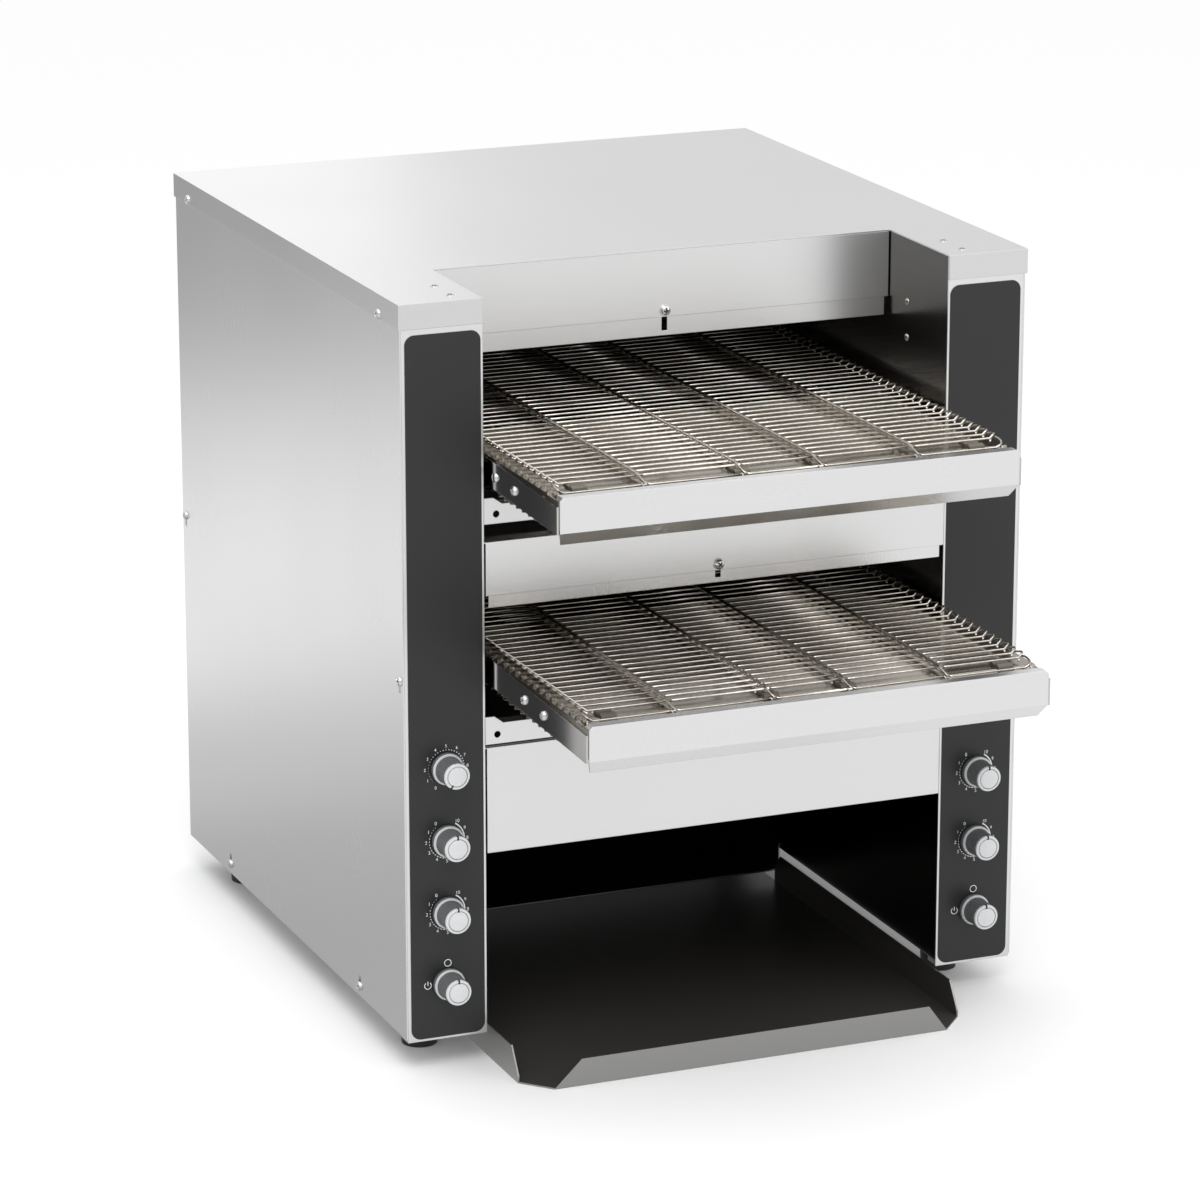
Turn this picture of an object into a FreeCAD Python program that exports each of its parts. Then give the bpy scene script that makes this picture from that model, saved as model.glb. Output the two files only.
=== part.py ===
import FreeCAD, Part
import math
import os
import Sketcher

os.makedirs("parts", exist_ok=True)

# Double-deck conveyor toaster. +Z is up, the loading side faces -Y and +X is the right-hand side.
# The origin is on the table under the middle of the whole outline, the tall casing stands on four
# feet and both wire conveyors reach out of its front.

Vector = FreeCAD.Vector
doc = FreeCAD.newDocument("conveyor_toaster")

# Driving dimensions in millimetres, degrees and counts.
DIMENSIONS = {
    # casing
    "cover_width": 514.0,
    "casing_depth": 531.0,
    "total_height": 599.0,
    "foot_height": 24.0,
    "casing_sheet": 1.2,
    "liner_sheet": 1.2,
    "fit_gap": 0.3,
    "cover_lip": 19.2,
    "column_width": 66.5,
    "notch_share": 0.19774,
    "face_setback": 1.4,
    "panel_lift": 2.4,
    "flange_width": 15.0,
    "cut_overrun": 5.0,
    # control columns
    "overlay_thickness": 0.5,
    "overlay_inner_margin": 1.8,
    "overlay_outer_margin": 2.6,
    "overlay_top_margin": 4.6,
    "overlay_bottom_margin": 1.9,
    "overlay_corner_radius": 7.7,
    "knob_column_share": 0.4782,
    "speed_knob_height_share": 0.401336,
    "top_heat_knob_height_share": 0.305843,
    "bottom_heat_knob_height_share": 0.210351,
    "power_knob_height_share": 0.114524,
    "knob_base_radius": 12.3,
    "knob_base_length": 6.0,
    "knob_grip_radius": 10.5,
    "knob_length": 23.5,
    "knob_clearance": 0.6,
    "knob_mark_width": 1.6,
    "knob_mark_depth": 1.2,
    "knob_mark_length": 3.6,
    "spindle_radius": 3.0,
    "spindle_clearance": 0.4,
    "control_body_size": 30.0,
    "control_body_depth": 22.0,
    # fascias and height shields
    "fascia_side_gap": 0.9,
    "upper_fascia_bottom_share": 0.911352,
    "middle_fascia_top_share": 0.688815,
    "middle_fascia_bottom_share": 0.619199,
    "low_panel_top_share": 0.421035,
    "low_panel_bottom_share": 0.281636,
    "shield_side_gap": 3.6,
    "shield_sheet": 1.0,
    "upper_shield_bottom_share": 0.886477,
    "lower_shield_bottom_share": 0.603005,
    "shield_height_share": 0.070117,
    "shield_flange": 8.0,
    "shield_slot_width": 4.6,
    "shield_slot_share": 0.776190,
    "shield_slot_lift": 3.8,
    "shield_screw_lift": 5.0,
    # pan-head screws
    "screw_head_radius": 3.9,
    "screw_head_height": 2.4,
    "screw_shank_radius": 2.0,
    "screw_shank_length": 8.0,
    "washer_radius": 4.6,
    "washer_thickness": 0.8,
    # conveyors
    "lower_rail_reach": 190.0,
    "upper_rail_reach": 135.0,
    "lower_rail_top_share": 0.539733,
    "upper_rail_top_share": 0.800167,
    "rail_height": 26.7,
    "rail_end_inset": 2.0,
    "rail_end_cut": 4.0,
    "rail_corner_cut": 2.5,
    "rail_lip_drop": 10.6,
    "rail_lip_back": 9.0,
    "rail_top_flange": 9.0,
    "rail_sheet": 1.2,
    "belt_wall_gap": 10.0,
    "belt_pitch": 12.0,
    "belt_wire_radius": 0.8,
    "belt_over_rail": 2.7,
    "belt_nose_gap": 12.3,
    "belt_rear_space": 122.0,
    "sprocket_teeth": 8,
    "sprocket_width": 12.0,
    "sprocket_tooth_height": 2.0,
    "sprocket_tooth_base": 6.4,
    "sprocket_tooth_tip": 3.4,
    "outer_sprocket_share": 0.88643,
    "inner_sprocket_share": 0.17175,
    "link_share": 0.60942,
    "inner_link_share": 0.24377,
    "shaft_radius": 6.0,
    "shaft_clearance": 0.05,
    "bushing_wall": 3.0,
    "bushing_flange": 1.6,
    "side_plate_height": 20.8,
    "side_plate_drop": 6.8,
    "side_plate_sheet": 1.5,
    "side_plate_gap": 3.7,
    "side_plate_slope_share": 0.028,
    "side_plate_into_casing": 80.0,
    "pan_sheet": 1.2,
    "pan_drop": 4.5,
    "pan_flange": 22.0,
    "pan_bend_reach": 6.5,
    "pan_nose_reach": 12.2,
    "pan_nose_rise": 4.0,
    "pan_slot_width": 13.6,
    "pan_slot_straight": 11.0,
    "pan_slot_length": 15.0,
    "spacer_radius": 5.0,
    "spacer_margin": 10.0,
    "spacer_spacing": 34.0,
    "rail_screw_spacing": 38.0,
    "upper_rail_screw_back": 13.0,
    "lower_rail_screw_back": 69.0,
    "beam_sheet": 1.5,
    "beam_depth": 12.0,
    "lower_beam_top_share": 0.461436,
    "lower_beam_bottom_share": 0.425209,
    "upper_beam_top_share": 0.745409,
    "upper_beam_bottom_share": 0.711853,
    "beam_tab_width": 14.0,
    "beam_hole_inset": 9.4,
    "beam_hole_lift": 7.4,
    "beam_hole_radius": 2.6,
    # chain drives in the right compartment
    "chain_pitch": 9.525,
    "chain_teeth": 12,
    "chain_drop_pitches": 10,
    "chain_roller_radius": 2.54,
    "chain_wheel_width": 2.8,
    "chain_plate_thickness": 0.9,
    "chain_plate_width": 7.0,
    "chain_line_offset": 16.0,
    "chain_tooth_base": 5.2,
    "chain_tooth_tip": 2.2,
    "chain_tooth_height": 3.0,
    "motor_size": 62.0,
    "motor_gearbox_length": 24.0,
    "motor_can_radius": 16.0,
    "motor_can_length": 62.0,
    "motor_shaft_radius": 4.0,
    "motor_standoff_radius": 4.0,
    "motor_stand": 26.0,
    # heaters
    "heater_radius": 4.0,
    "heater_front_gap": 10.0,
    "top_heater_count": 6,
    "bottom_heater_count": 5,
    "heater_rise_share": 0.151586,
    "heater_drive_gap": 26.7,
    "baffle_drive_gap": 9.5,
    "heater_terminal_radius": 6.5,
    "heater_terminal_length": 9.0,
    "lower_heater_rise_share": 0.077963,
    "baffle_rise": 14.0,
    # toast chute and tray
    "chute_sheet": 1.2,
    "chute_top_share": 0.701169,
    "chute_knee_share": 0.317195,
    "chute_front_share": 0.56497,
    "chute_front_height": 9.0,
    "chute_slope_share": 0.88512,
    "chute_slope_height_share": 0.136895,
    "chute_rear_gap": 12.0,
    "chute_cheek": 24.0,
    "tray_sheet": 1.2,
    "tray_side_gap": 5.0,
    "tray_wall_height": 26.0,
    "tray_front_reach": 72.6,
    "tray_lip_inset": 20.7,
    "tray_lip_top_inset": 40.1,
    "tray_lip_lean": 7.6,
    "tray_lip_height": 24.7,
    "tray_corner_reach": 50.0,
    "tray_wall_top_reach": 36.0,
    "tray_toe_height": 5.2,
    "tray_rear_cut": 10.4,
    "tray_wall_share": 0.55744,
    "tray_floor_share": 0.62147,
    # cooling fan, vents and cable gland in the back panel
    "fan_size": 58.0,
    "fan_depth": 20.0,
    "fan_bore_radius": 27.0,
    "fan_hub_radius": 11.0,
    "fan_blade_reach": 25.6,
    "fan_blades": 7,
    "fan_height_share": 0.634391,
    "fan_blade_angle": 42.0,
    "fan_blade_sheet": 1.0,
    "fan_bar_width": 2.0,
    "fan_pin_radius": 2.0,
    "vent_slot_height": 4.0,
    "vent_slot_width": 40.0,
    "vent_pitch": 11.0,
    "vent_count": 7,
    "gland_radius": 9.0,
    "gland_nut_radius": 13.0,
    "gland_out": 16.0,
    "gland_bore_radius": 5.0,
    "gland_height_share": 0.116861,
    # feet
    "foot_radius": 16.0,
    "foot_tip_radius": 14.0,
    "foot_front_place": 62.0,
    "foot_rear_margin": 56.0,
    # fasteners on the outside of the casing
    "lip_screw_front": 42.1,
    "lip_screw_rear_margin": 37.8,
    "lip_screw_rise": 4.2,
    "side_screw_front": 8.6,
    "side_screw_rear_margin": 9.0,
    "side_screw_height_share": 0.517529,
    "foot_screw_front": 106.3,
    "foot_screw_rear_margin": 109.6,
    "foot_screw_height": 34.6,
    "keyhole_width": 4.8,
    "keyhole_length": 9.0,
    "rivet_radius": 3.2,
    "rivet_height": 0.6,
    "rivet_column_share": 0.28872,
    "rivet_front_place": 17.8,
    "rivet_rear_place": 50.3,
}

sheet = doc.addObject("Spreadsheet::Sheet", "Dims")
for row, (alias, value) in enumerate(DIMENSIONS.items(), start=1):
    sheet.set(f"A{row}", alias)
    sheet.set(f"B{row}", str(value))
    sheet.setAlias(f"B{row}", alias)
doc.recompute()


class Size:
    """A length in millimetres together with the sheet expression that it follows."""

    def __init__(self, value, text):
        self.value = float(value)
        self.text = text

    def __add__(self, other):
        other = size(other)
        return Size(self.value + other.value, f"({self.text} + {other.text})")

    def __radd__(self, other):
        return size(other) + self

    def __sub__(self, other):
        other = size(other)
        return Size(self.value - other.value, f"({self.text} - {other.text})")

    def __rsub__(self, other):
        return size(other) - self

    def __mul__(self, factor):
        factor = size(factor)
        return Size(self.value * factor.value, f"({self.text} * {factor.text})")

    def __rmul__(self, factor):
        return size(factor) * self

    def __truediv__(self, factor):
        factor = size(factor)
        return Size(self.value / factor.value, f"({self.text} / {factor.text})")

    def __neg__(self):
        return Size(-self.value, f"(-1 * {self.text})")

    def __float__(self):
        return self.value


def size(value):
    if isinstance(value, Size):
        return value
    return Size(value, repr(float(value)))


def dim(alias):
    return Size(DIMENSIONS[alias], f"Dims.{alias}")


def height_of(alias):
    """A height that the sheet gives as a share of the total height."""
    return dim("total_height") * dim(alias + "_share")


def count(alias):
    return int(DIMENSIONS[alias])


def bind(item, prop, value):
    value = size(value)
    if "Dims." in value.text:
        item.setExpression(prop, value.text)
    else:
        item.setExpression(prop, None)
    return value.value


NODES = []


def node(item, name):
    """Names the finished object of one sub-part, which names its file too."""
    item.Label = name
    NODES.append(item)
    return item


def fresh(kind, name):
    return doc.addObject(kind, name + "_step")


def box(name, x, y, z):
    """A block between two places along each axis."""
    item = fresh("Part::Box", name)
    for prop, (low, high) in (("Length", x), ("Width", y), ("Height", z)):
        setattr(item, prop, float(size(high) - low))
        bind(item, prop, size(high) - low)
    item.Placement.Base = Vector(*(float(size(span[0])) for span in (x, y, z)))
    for letter, span in zip("xyz", (x, y, z)):
        bind(item, f".Placement.Base.{letter}", span[0])
    return item


TURN_TO_AXIS = {
    "x": FreeCAD.Rotation(Vector(0, 1, 0), 90),
    "y": FreeCAD.Rotation(Vector(1, 0, 0), -90),
    "z": FreeCAD.Rotation(),
}


def along(item, axis, centre, start):
    """Stands a round primitive on the place start of its axis, through the two centre places."""
    places = list(centre)
    places.insert("xyz".index(axis), start)
    item.Placement = FreeCAD.Placement(Vector(*(float(size(p)) for p in places)), TURN_TO_AXIS[axis])
    for letter, place in zip("xyz", places):
        bind(item, f".Placement.Base.{letter}", place)
    return item


def rod(name, axis, centre, radius, low, high):
    item = fresh("Part::Cylinder", name)
    for prop, value in (("Radius", radius), ("Height", size(high) - low)):
        setattr(item, prop, float(size(value)))
        bind(item, prop, value)
    return along(item, axis, centre, low)


def taper(name, axis, centre, start_radius, end_radius, low, high):
    item = fresh("Part::Cone", name)
    for prop, value in (("Radius1", start_radius), ("Radius2", end_radius), ("Height", size(high) - low)):
        setattr(item, prop, float(size(value)))
        bind(item, prop, value)
    return along(item, axis, centre, low)


def fuse(name, items):
    item = fresh("Part::MultiFuse", name)
    item.Shapes = items
    return item


def group(name, items):
    """Several separate solids of one sub-part."""
    item = fresh("Part::Compound", name)
    item.Links = items
    return item


def cut(name, base, tools):
    item = fresh("Part::Cut", name)
    item.Base = base
    item.Tool = tools[0] if len(tools) == 1 else fuse(name, tools)
    return item


def solid(name, shape):
    """A sub-part whose shape comes from a formula in this file."""
    item = fresh("Part::Feature", name)
    item.Shape = shape
    return item


PLANE_ROLES = {"xy": "XY_Plane", "xz": "XZ_Plane", "yz": "YZ_Plane"}


def outline(sketch, points):
    """Draws one closed outline and ties every corner to the sheet."""
    first = sketch.GeometryCount
    total = len(points)
    for i, (u, v) in enumerate(points):
        nu, nv = points[(i + 1) % total]
        start = Vector(float(size(u)), float(size(v)), 0)
        end = Vector(float(size(nu)), float(size(nv)), 0)
        sketch.addGeometry(Part.LineSegment(start, end), False)
    for i in range(total):
        following = first + (i + 1) % total
        sketch.addConstraint(Sketcher.Constraint("Coincident", first + i, 2, following, 1))
    for i, (u, v) in enumerate(points):
        for kind, place in (("DistanceX", size(u)), ("DistanceY", size(v))):
            if place.value == 0 and "Dims." not in place.text:
                axis = -2 if kind == "DistanceX" else -1
                sketch.addConstraint(Sketcher.Constraint("PointOnObject", first + i, 1, axis))
                continue
            number = sketch.addConstraint(
                Sketcher.Constraint(kind, -1, 1, first + i, 1, place.value))
            sketch.setExpression(f"Constraints[{number}]", place.text)


def ring(sketch, u, v, radius):
    """Draws one hole and ties its centre and radius to the sheet."""
    centre = Vector(float(size(u)), float(size(v)), 0)
    item = sketch.addGeometry(Part.Circle(centre, Vector(0, 0, 1), float(size(radius))), False)
    number = sketch.addConstraint(Sketcher.Constraint("Radius", item, float(size(radius))))
    sketch.setExpression(f"Constraints[{number}]", size(radius).text)
    for kind, place in (("DistanceX", size(u)), ("DistanceY", size(v))):
        if place.value == 0 and "Dims." not in place.text:
            axis = -2 if kind == "DistanceX" else -1
            sketch.addConstraint(Sketcher.Constraint("PointOnObject", item, 3, axis))
            continue
        number = sketch.addConstraint(Sketcher.Constraint(kind, -1, 1, item, 3, place.value))
        sketch.setExpression(f"Constraints[{number}]", place.text)


def sketch_on(body, plane, name, offset):
    sketch = body.newObject("Sketcher::SketchObject", name + "_sketch")
    role = PLANE_ROLES[plane]
    origin_plane = [f for f in body.Origin.OriginFeatures if f.Role == role][0]
    sketch.AttachmentSupport = [(origin_plane, "")]
    sketch.MapMode = "FlatFace"
    sketch.AttachmentOffset.Base.z = float(size(offset))
    bind(sketch, ".AttachmentOffset.Base.z", offset)
    return sketch


def profile(name, plane, points, low, high, holes=(), cutouts=()):
    """A body made by padding one outline, with holes and cut-outs, between two places."""
    body = doc.addObject("PartDesign::Body", name + "_body")
    start = -size(high) if plane == "xz" else size(low)
    sketch = sketch_on(body, plane, name, start)
    outline(sketch, points)
    for cutout in cutouts:
        outline(sketch, cutout)
    for u, v, radius in holes:
        ring(sketch, u, v, radius)
    pad = body.newObject("PartDesign::Pad", name + "_pad")
    pad.Profile = sketch
    pad.Length = float(size(high) - low)
    bind(pad, "Length", size(high) - low)
    sketch.Visibility = False
    return body


def rectangle(u, v):
    return [(u[0], v[0]), (u[1], v[0]), (u[1], v[1]), (u[0], v[1])]


# Places that several sub-parts share.
over = dim("cut_overrun")
sheet_t = dim("casing_sheet")
liner_t = dim("liner_sheet")
gap = dim("fit_gap")
front_y = (dim("lower_rail_reach") - dim("casing_depth") - dim("gland_out")) / 2
back_y = front_y + dim("casing_depth")
face_y = front_y + dim("face_setback")
face_back_y = face_y + sheet_t
top_z = dim("total_height")
under_cover_z = top_z - sheet_t
column_top_z = under_cover_z
column_bottom_z = dim("foot_height")
panel_bottom_z = column_bottom_z + dim("panel_lift")
cover_half = dim("cover_width") / 2
panel_outer_x = cover_half - sheet_t
panel_inner_x = panel_outer_x - sheet_t
opening_half = cover_half - dim("column_width")
liner_outer_x = opening_half + liner_t
compartment_x = (liner_outer_x + panel_inner_x) / 2
knob_x = opening_half + dim("column_width") * dim("knob_column_share")
rivet_x = opening_half + dim("column_width") * dim("rivet_column_share")
back_panel_y = back_y - dim("face_setback") - sheet_t
notch_y = front_y + dim("casing_depth") * dim("notch_share")
fascia_half = opening_half - dim("fascia_side_gap")
shield_half = opening_half - dim("shield_side_gap")
shaft_r = dim("shaft_radius")
bush_r = shaft_r + dim("bushing_wall")
wire_r = dim("belt_wire_radius")
belt_half = opening_half - dim("belt_wall_gap")
outer_wheel_x = belt_half * dim("outer_sprocket_share")
inner_wheel_x = belt_half * dim("inner_sprocket_share")


def polygon_radius(pitch, teeth):
    """Radius of the circle that the corners of a regular polygon of the given side lie on."""
    return pitch / (2 * math.sin(math.pi / teeth))


belt_r = polygon_radius(dim("belt_pitch"), count("sprocket_teeth"))
chain_r = polygon_radius(dim("chain_pitch"), count("chain_teeth"))
idler_reach = dim("rail_sheet") + dim("belt_nose_gap") + wire_r + belt_r


class Deck:
    """The places of one conveyor: upper or lower."""

    def __init__(self, name):
        self.name = name
        self.rail_y = front_y - dim(name + "_rail_reach")
        self.rail_top = height_of(name + "_rail_top")
        self.belt_top = self.rail_top + dim("belt_over_rail")
        self.axis_z = self.belt_top - belt_r
        self.idler_y = self.rail_y + idler_reach
        room = back_y - dim("belt_rear_space") - self.idler_y
        self.pitches = int(room.value / dim("belt_pitch").value)
        self.drive_y = self.idler_y + dim("belt_pitch") * self.pitches
        self.plate_top = self.rail_top - dim("side_plate_drop")
        self.plate_bottom = self.plate_top - dim("side_plate_height")
        self.plate_back_y = front_y + dim("side_plate_into_casing")
        self.motor_z = self.axis_z - dim("chain_pitch") * dim("chain_drop_pitches")
        self.screw_ys = [
            front_y - dim(name + "_rail_screw_back") - dim("rail_screw_spacing") * i for i in range(2)]
        self.spacer_ys = [self.plate_back_y - dim("spacer_margin"),
                          self.plate_back_y - dim("spacer_margin") - dim("spacer_spacing")]

    def plate_rise(self, y):
        """How far the side plates have climbed from the rail to the place y."""
        return (y - self.rail_y) * dim("side_plate_slope_share")


DECKS = [Deck("upper"), Deck("lower")]
plate_inner_x = belt_half + wire_r + dim("side_plate_gap")
plate_outer_x = plate_inner_x + dim("side_plate_sheet")


def side_span(side, low, high):
    """A span of X places on the right (1) or mirrored to the left (-1)."""
    if side > 0:
        return (size(low), size(high))
    return (-size(high), -size(low))


SIDES = (("left", -1), ("right", 1))
hole_r = dim("screw_shank_radius") + gap


def screw(name, axis, outward, centre, face, washer=False):
    """A pan-head screw whose head stands outward from the face that it clamps."""
    seat = size(face)
    items = []
    if washer:
        disc_end = seat + dim("washer_thickness") * outward
        low, high = (seat, disc_end) if outward > 0 else (disc_end, seat)
        items.append(rod(name, axis, centre, dim("washer_radius"), low, high))
        seat = disc_end
    head_end = seat + dim("screw_head_height") * outward
    shank_end = size(face) - dim("screw_shank_length") * outward
    rim = dim("screw_head_radius")
    crown = rim - dim("screw_head_height") / 2
    if outward > 0:
        items.append(taper(name, axis, centre, rim, crown, seat, head_end))
        items.append(rod(name, axis, centre, dim("screw_shank_radius"), shank_end, seat))
    else:
        items.append(taper(name, axis, centre, crown, rim, head_end, seat))
        items.append(rod(name, axis, centre, dim("screw_shank_radius"), seat, shank_end))
    return fuse(name, items)


# Screws on the casing's sides: (place along Y, height, direction that its keyhole slot runs).
side_screws = [
    (front_y + dim("side_screw_front"), height_of("side_screw_height"), -1),
    (back_y - dim("side_screw_rear_margin"), height_of("side_screw_height"), -1),
    (front_y + dim("foot_screw_front"), dim("foot_screw_height"), 1),
    (back_y - dim("foot_screw_rear_margin"), dim("foot_screw_height"), 1),
]
lip_screws = [
    (front_y + dim("lip_screw_front"), top_z - dim("cover_lip") + dim("lip_screw_rise")),
    (back_y - dim("lip_screw_rear_margin"), top_z - dim("cover_lip") + dim("lip_screw_rise")),
]


def casing():
    """The outer sheet-metal shell: side panels, back, top cover and base."""
    flange = dim("flange_width")
    for label, side in SIDES:
        name = label + "_side_panel"
        slots = []
        for y, z, way in side_screws:
            low, high = (z - dim("keyhole_length"), z + hole_r) if way < 0 else (
                z - hole_r, z + dim("keyhole_length"))
            half = dim("keyhole_width") / 2
            slots.append(rectangle((y - half, y + half), (low, high)))
        x = side_span(side, panel_inner_x, panel_outer_x)
        wall = profile(name, "yz", rectangle((face_y, back_y - dim("face_setback")),
                                             (panel_bottom_z, column_top_z)),
                       x[0], x[1], holes=[(y, z, hole_r) for y, z in lip_screws], cutouts=slots)
        inner = side_span(side, panel_inner_x - flange, panel_inner_x)
        foot = box(name, inner, (face_back_y + flange * 2, back_panel_y - flange * 2),
                   (panel_bottom_z, panel_bottom_z + sheet_t))
        node(fuse(name, [wall, foot]), name)

    name = "back_panel"
    half = panel_inner_x
    vent_x = compartment_x
    vent_half = dim("vent_slot_width") / 2
    cutouts = []
    group_half = dim("vent_pitch") * (count("vent_count") - 1) / 2
    vent_z = (height_of("fan_height") + dim("fan_size") / 2 + column_top_z) / 2
    for side, middle in ((-1, vent_z), (1, vent_z), (-1, height_of("fan_height"))):
        start = middle - group_half
        for i in range(count("vent_count")):
            z = start + dim("vent_pitch") * i
            x = side_span(side, vent_x - vent_half, vent_x + vent_half)
            rise = dim("vent_slot_height") / 2
            cutouts.append(rectangle(x, (z - rise, z + rise)))
    wall = profile(name, "xz", rectangle((-half, half), (panel_bottom_z, column_top_z)),
                   back_panel_y, back_panel_y + sheet_t, cutouts=cutouts,
                   holes=[(vent_x, height_of("gland_height"), dim("gland_radius") + gap)])
    items = [wall]
    for label, side in SIDES:
        x = side_span(side, half - sheet_t, half)
        items.append(box(name, x, (back_panel_y - flange, back_panel_y),
                         (panel_bottom_z + flange * 2, column_top_z)))
    holes = [rod(name, "x", (y, z), hole_r, -cover_half, cover_half)
             for y, z, way in side_screws if y.value > back_panel_y.value - flange.value]
    node(cut(name, fuse(name, items), holes), name)

    name = "top_cover"
    edge = opening_half
    deck = profile(name, "xy", [
        (-cover_half, front_y), (-edge, front_y), (-edge, notch_y), (edge, notch_y),
        (edge, front_y), (cover_half, front_y), (cover_half, back_y), (-cover_half, back_y),
    ], under_cover_z, top_z)
    lip_z = (top_z - dim("cover_lip"), under_cover_z)
    items = [deck]
    for label, side in SIDES:
        items.append(box(name, side_span(side, cover_half - sheet_t, cover_half), (front_y, back_y), lip_z))
        items.append(box(name, side_span(side, edge, cover_half), (front_y, front_y + sheet_t), lip_z))
    items.append(box(name, (-cover_half, cover_half), (back_y - sheet_t, back_y), lip_z))
    holes = [rod(name, "x", (y, z), hole_r, -cover_half - over, cover_half + over) for y, z in lip_screws]
    node(cut(name, fuse(name, items), holes), name)

    name = "base_plate"
    inner = liner_outer_x
    z = (panel_bottom_z + sheet_t, panel_bottom_z + sheet_t * 2)
    y = (face_back_y + flange, back_panel_y)
    rear = back_y - dim("foot_rear_margin") - dim("foot_radius") * 2
    plate = profile(name, "xy", [
        (-panel_inner_x, y[0]), (-inner, y[0]), (-inner, rear), (inner, rear), (inner, y[0]),
        (panel_inner_x, y[0]), (panel_inner_x, y[1]), (-panel_inner_x, y[1]),
    ], z[0], z[1])
    items = [plate]
    for label, side in SIDES:
        x = side_span(side, panel_inner_x - sheet_t, panel_inner_x)
        items.append(box(name, x, (y[0], y[1] - flange), (z[1], z[1] + flange)))
    holes = [rod(name, "x", (y, z), hole_r, -cover_half, cover_half) for y, z, way in side_screws if way > 0]
    node(cut(name, fuse(name, items), holes), name)


def columns():
    """The two front columns with their black control overlays."""
    depth = dim("flange_width") + sheet_t
    overlays = []
    for label, side in SIDES:
        name = label + "_column_front"
        out_x = panel_inner_x
        in_x = liner_outer_x
        section = [
            (opening_half, face_y), (out_x, face_y), (out_x, face_y + depth),
            (out_x - sheet_t, face_y + depth), (out_x - sheet_t, face_back_y),
            (in_x + sheet_t, face_back_y), (in_x + sheet_t, face_y + depth),
            (in_x, face_y + depth), (in_x, face_back_y), (opening_half, face_back_y),
        ]
        shell = profile(name, "xy", [(u * side, v) for u, v in section], column_bottom_z, column_top_z)
        floor = box(name, side_span(side, in_x + sheet_t, out_x - sheet_t), (face_back_y, face_y + depth),
                    (column_bottom_z, column_bottom_z + sheet_t))
        holes = [rod(name, "y", (knob_x * side, height_of(place + "_knob_height")),
                     dim("spindle_radius") + dim("spindle_clearance"), face_y - over, face_back_y + over)
                 for place in KNOB_PLACES]
        holes += [rod(name, "x", (y, z), hole_r, -cover_half, cover_half)
                  for y, z, way in side_screws if y.value < face_y.value + depth.value]
        node(cut(name, fuse(name, [shell, floor]), holes), name)

        name = label + "_control_overlay"
        x = side_span(side, opening_half + dim("overlay_inner_margin"), out_x - dim("overlay_outer_margin"))
        z = (column_bottom_z + dim("overlay_bottom_margin"),
             top_z - dim("cover_lip") - dim("overlay_top_margin"))
        body = profile(name, "xz", rectangle(x, z), face_y - dim("overlay_thickness"), face_y, holes=[
            (knob_x * side, height_of(place + "_knob_height"),
             dim("spindle_radius") + dim("spindle_clearance")) for place in KNOB_PLACES])
        doc.recompute()
        box_of = body.Shape.BoundBox
        corners = []
        for number, edge in enumerate(body.Shape.Edges, start=1):
            ends = [v.Point for v in edge.Vertexes]
            level = len(ends) == 2 and abs(ends[0].y - ends[1].y) > box_of.YLength / 2
            if level and min(abs(ends[0].x - box_of.XMin), abs(ends[0].x - box_of.XMax)) < gap.value:
                corners.append(f"Edge{number}")
        pad = body.Tip
        rounding = body.newObject("PartDesign::Fillet", name + "_corners")
        rounding.Base = (pad, corners)
        rounding.Radius = float(dim("overlay_corner_radius"))
        bind(rounding, "Radius", dim("overlay_corner_radius"))
        body.Tip = rounding
        overlays.append(body)
    node(group("control_overlays", overlays), "control_overlays")


KNOB_PLACES = ("speed", "top_heat", "bottom_heat", "power")
# Turn of each pointer from straight up, seen from the front, clockwise, in degrees.
POINTER_TURN = {"speed": 210.0, "top_heat": 0.0, "bottom_heat": 0.0, "power": 0.0}


def knobs():
    """Eight knobs with their spindles, and the switch and regulator bodies behind the columns."""
    base_y = face_y - dim("overlay_thickness") - dim("knob_clearance")
    bodies = []
    for label, side in SIDES:
        deck = "upper" if side < 0 else "lower"
        for place in KNOB_PLACES:
            name = f"{deck}_{place}_knob"
            x = knob_x * side
            z = height_of(place + "_knob_height")
            skirt = rod(name, "y", (0, 0), dim("knob_base_radius"), -dim("knob_base_length"), 0)
            grip = rod(name, "y", (0, 0), dim("knob_grip_radius"), -dim("knob_length"),
                       -dim("knob_base_length"))
            spindle_end = face_back_y - base_y + dim("control_body_depth") / 2
            spindle = rod(name, "y", (0, 0), dim("spindle_radius"), -dim("knob_base_length"), spindle_end)
            grip_r = dim("knob_grip_radius")
            mark_half = dim("knob_mark_width") / 2
            mark = box(name, (-mark_half, mark_half),
                       (-dim("knob_length") - over, dim("knob_mark_depth") - dim("knob_length")),
                       (grip_r - dim("knob_mark_length"), grip_r + over))
            knob = cut(name, fuse(name, [skirt, grip, spindle]), [mark])
            turn = FreeCAD.Rotation(Vector(0, 1, 0), POINTER_TURN[place])
            knob.Placement = FreeCAD.Placement(Vector(float(x), float(base_y), float(z)), turn)
            for letter, value in zip("xyz", (x, base_y, z)):
                bind(knob, f".Placement.Base.{letter}", value)
            node(knob, name)
            half = dim("control_body_size") / 2
            block = box("rotary_controls", side_span(side, knob_x - half, knob_x + half),
                        (face_back_y, face_back_y + dim("control_body_depth")), (z - half, z + half))
            bore = rod("rotary_controls", "y", (x, z), dim("spindle_radius") + dim("shaft_clearance"),
                       face_back_y - over, face_back_y + dim("control_body_depth") + over)
            bodies.append(cut("rotary_controls", block, [bore]))
    node(group("rotary_controls", bodies), "rotary_controls")


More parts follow.
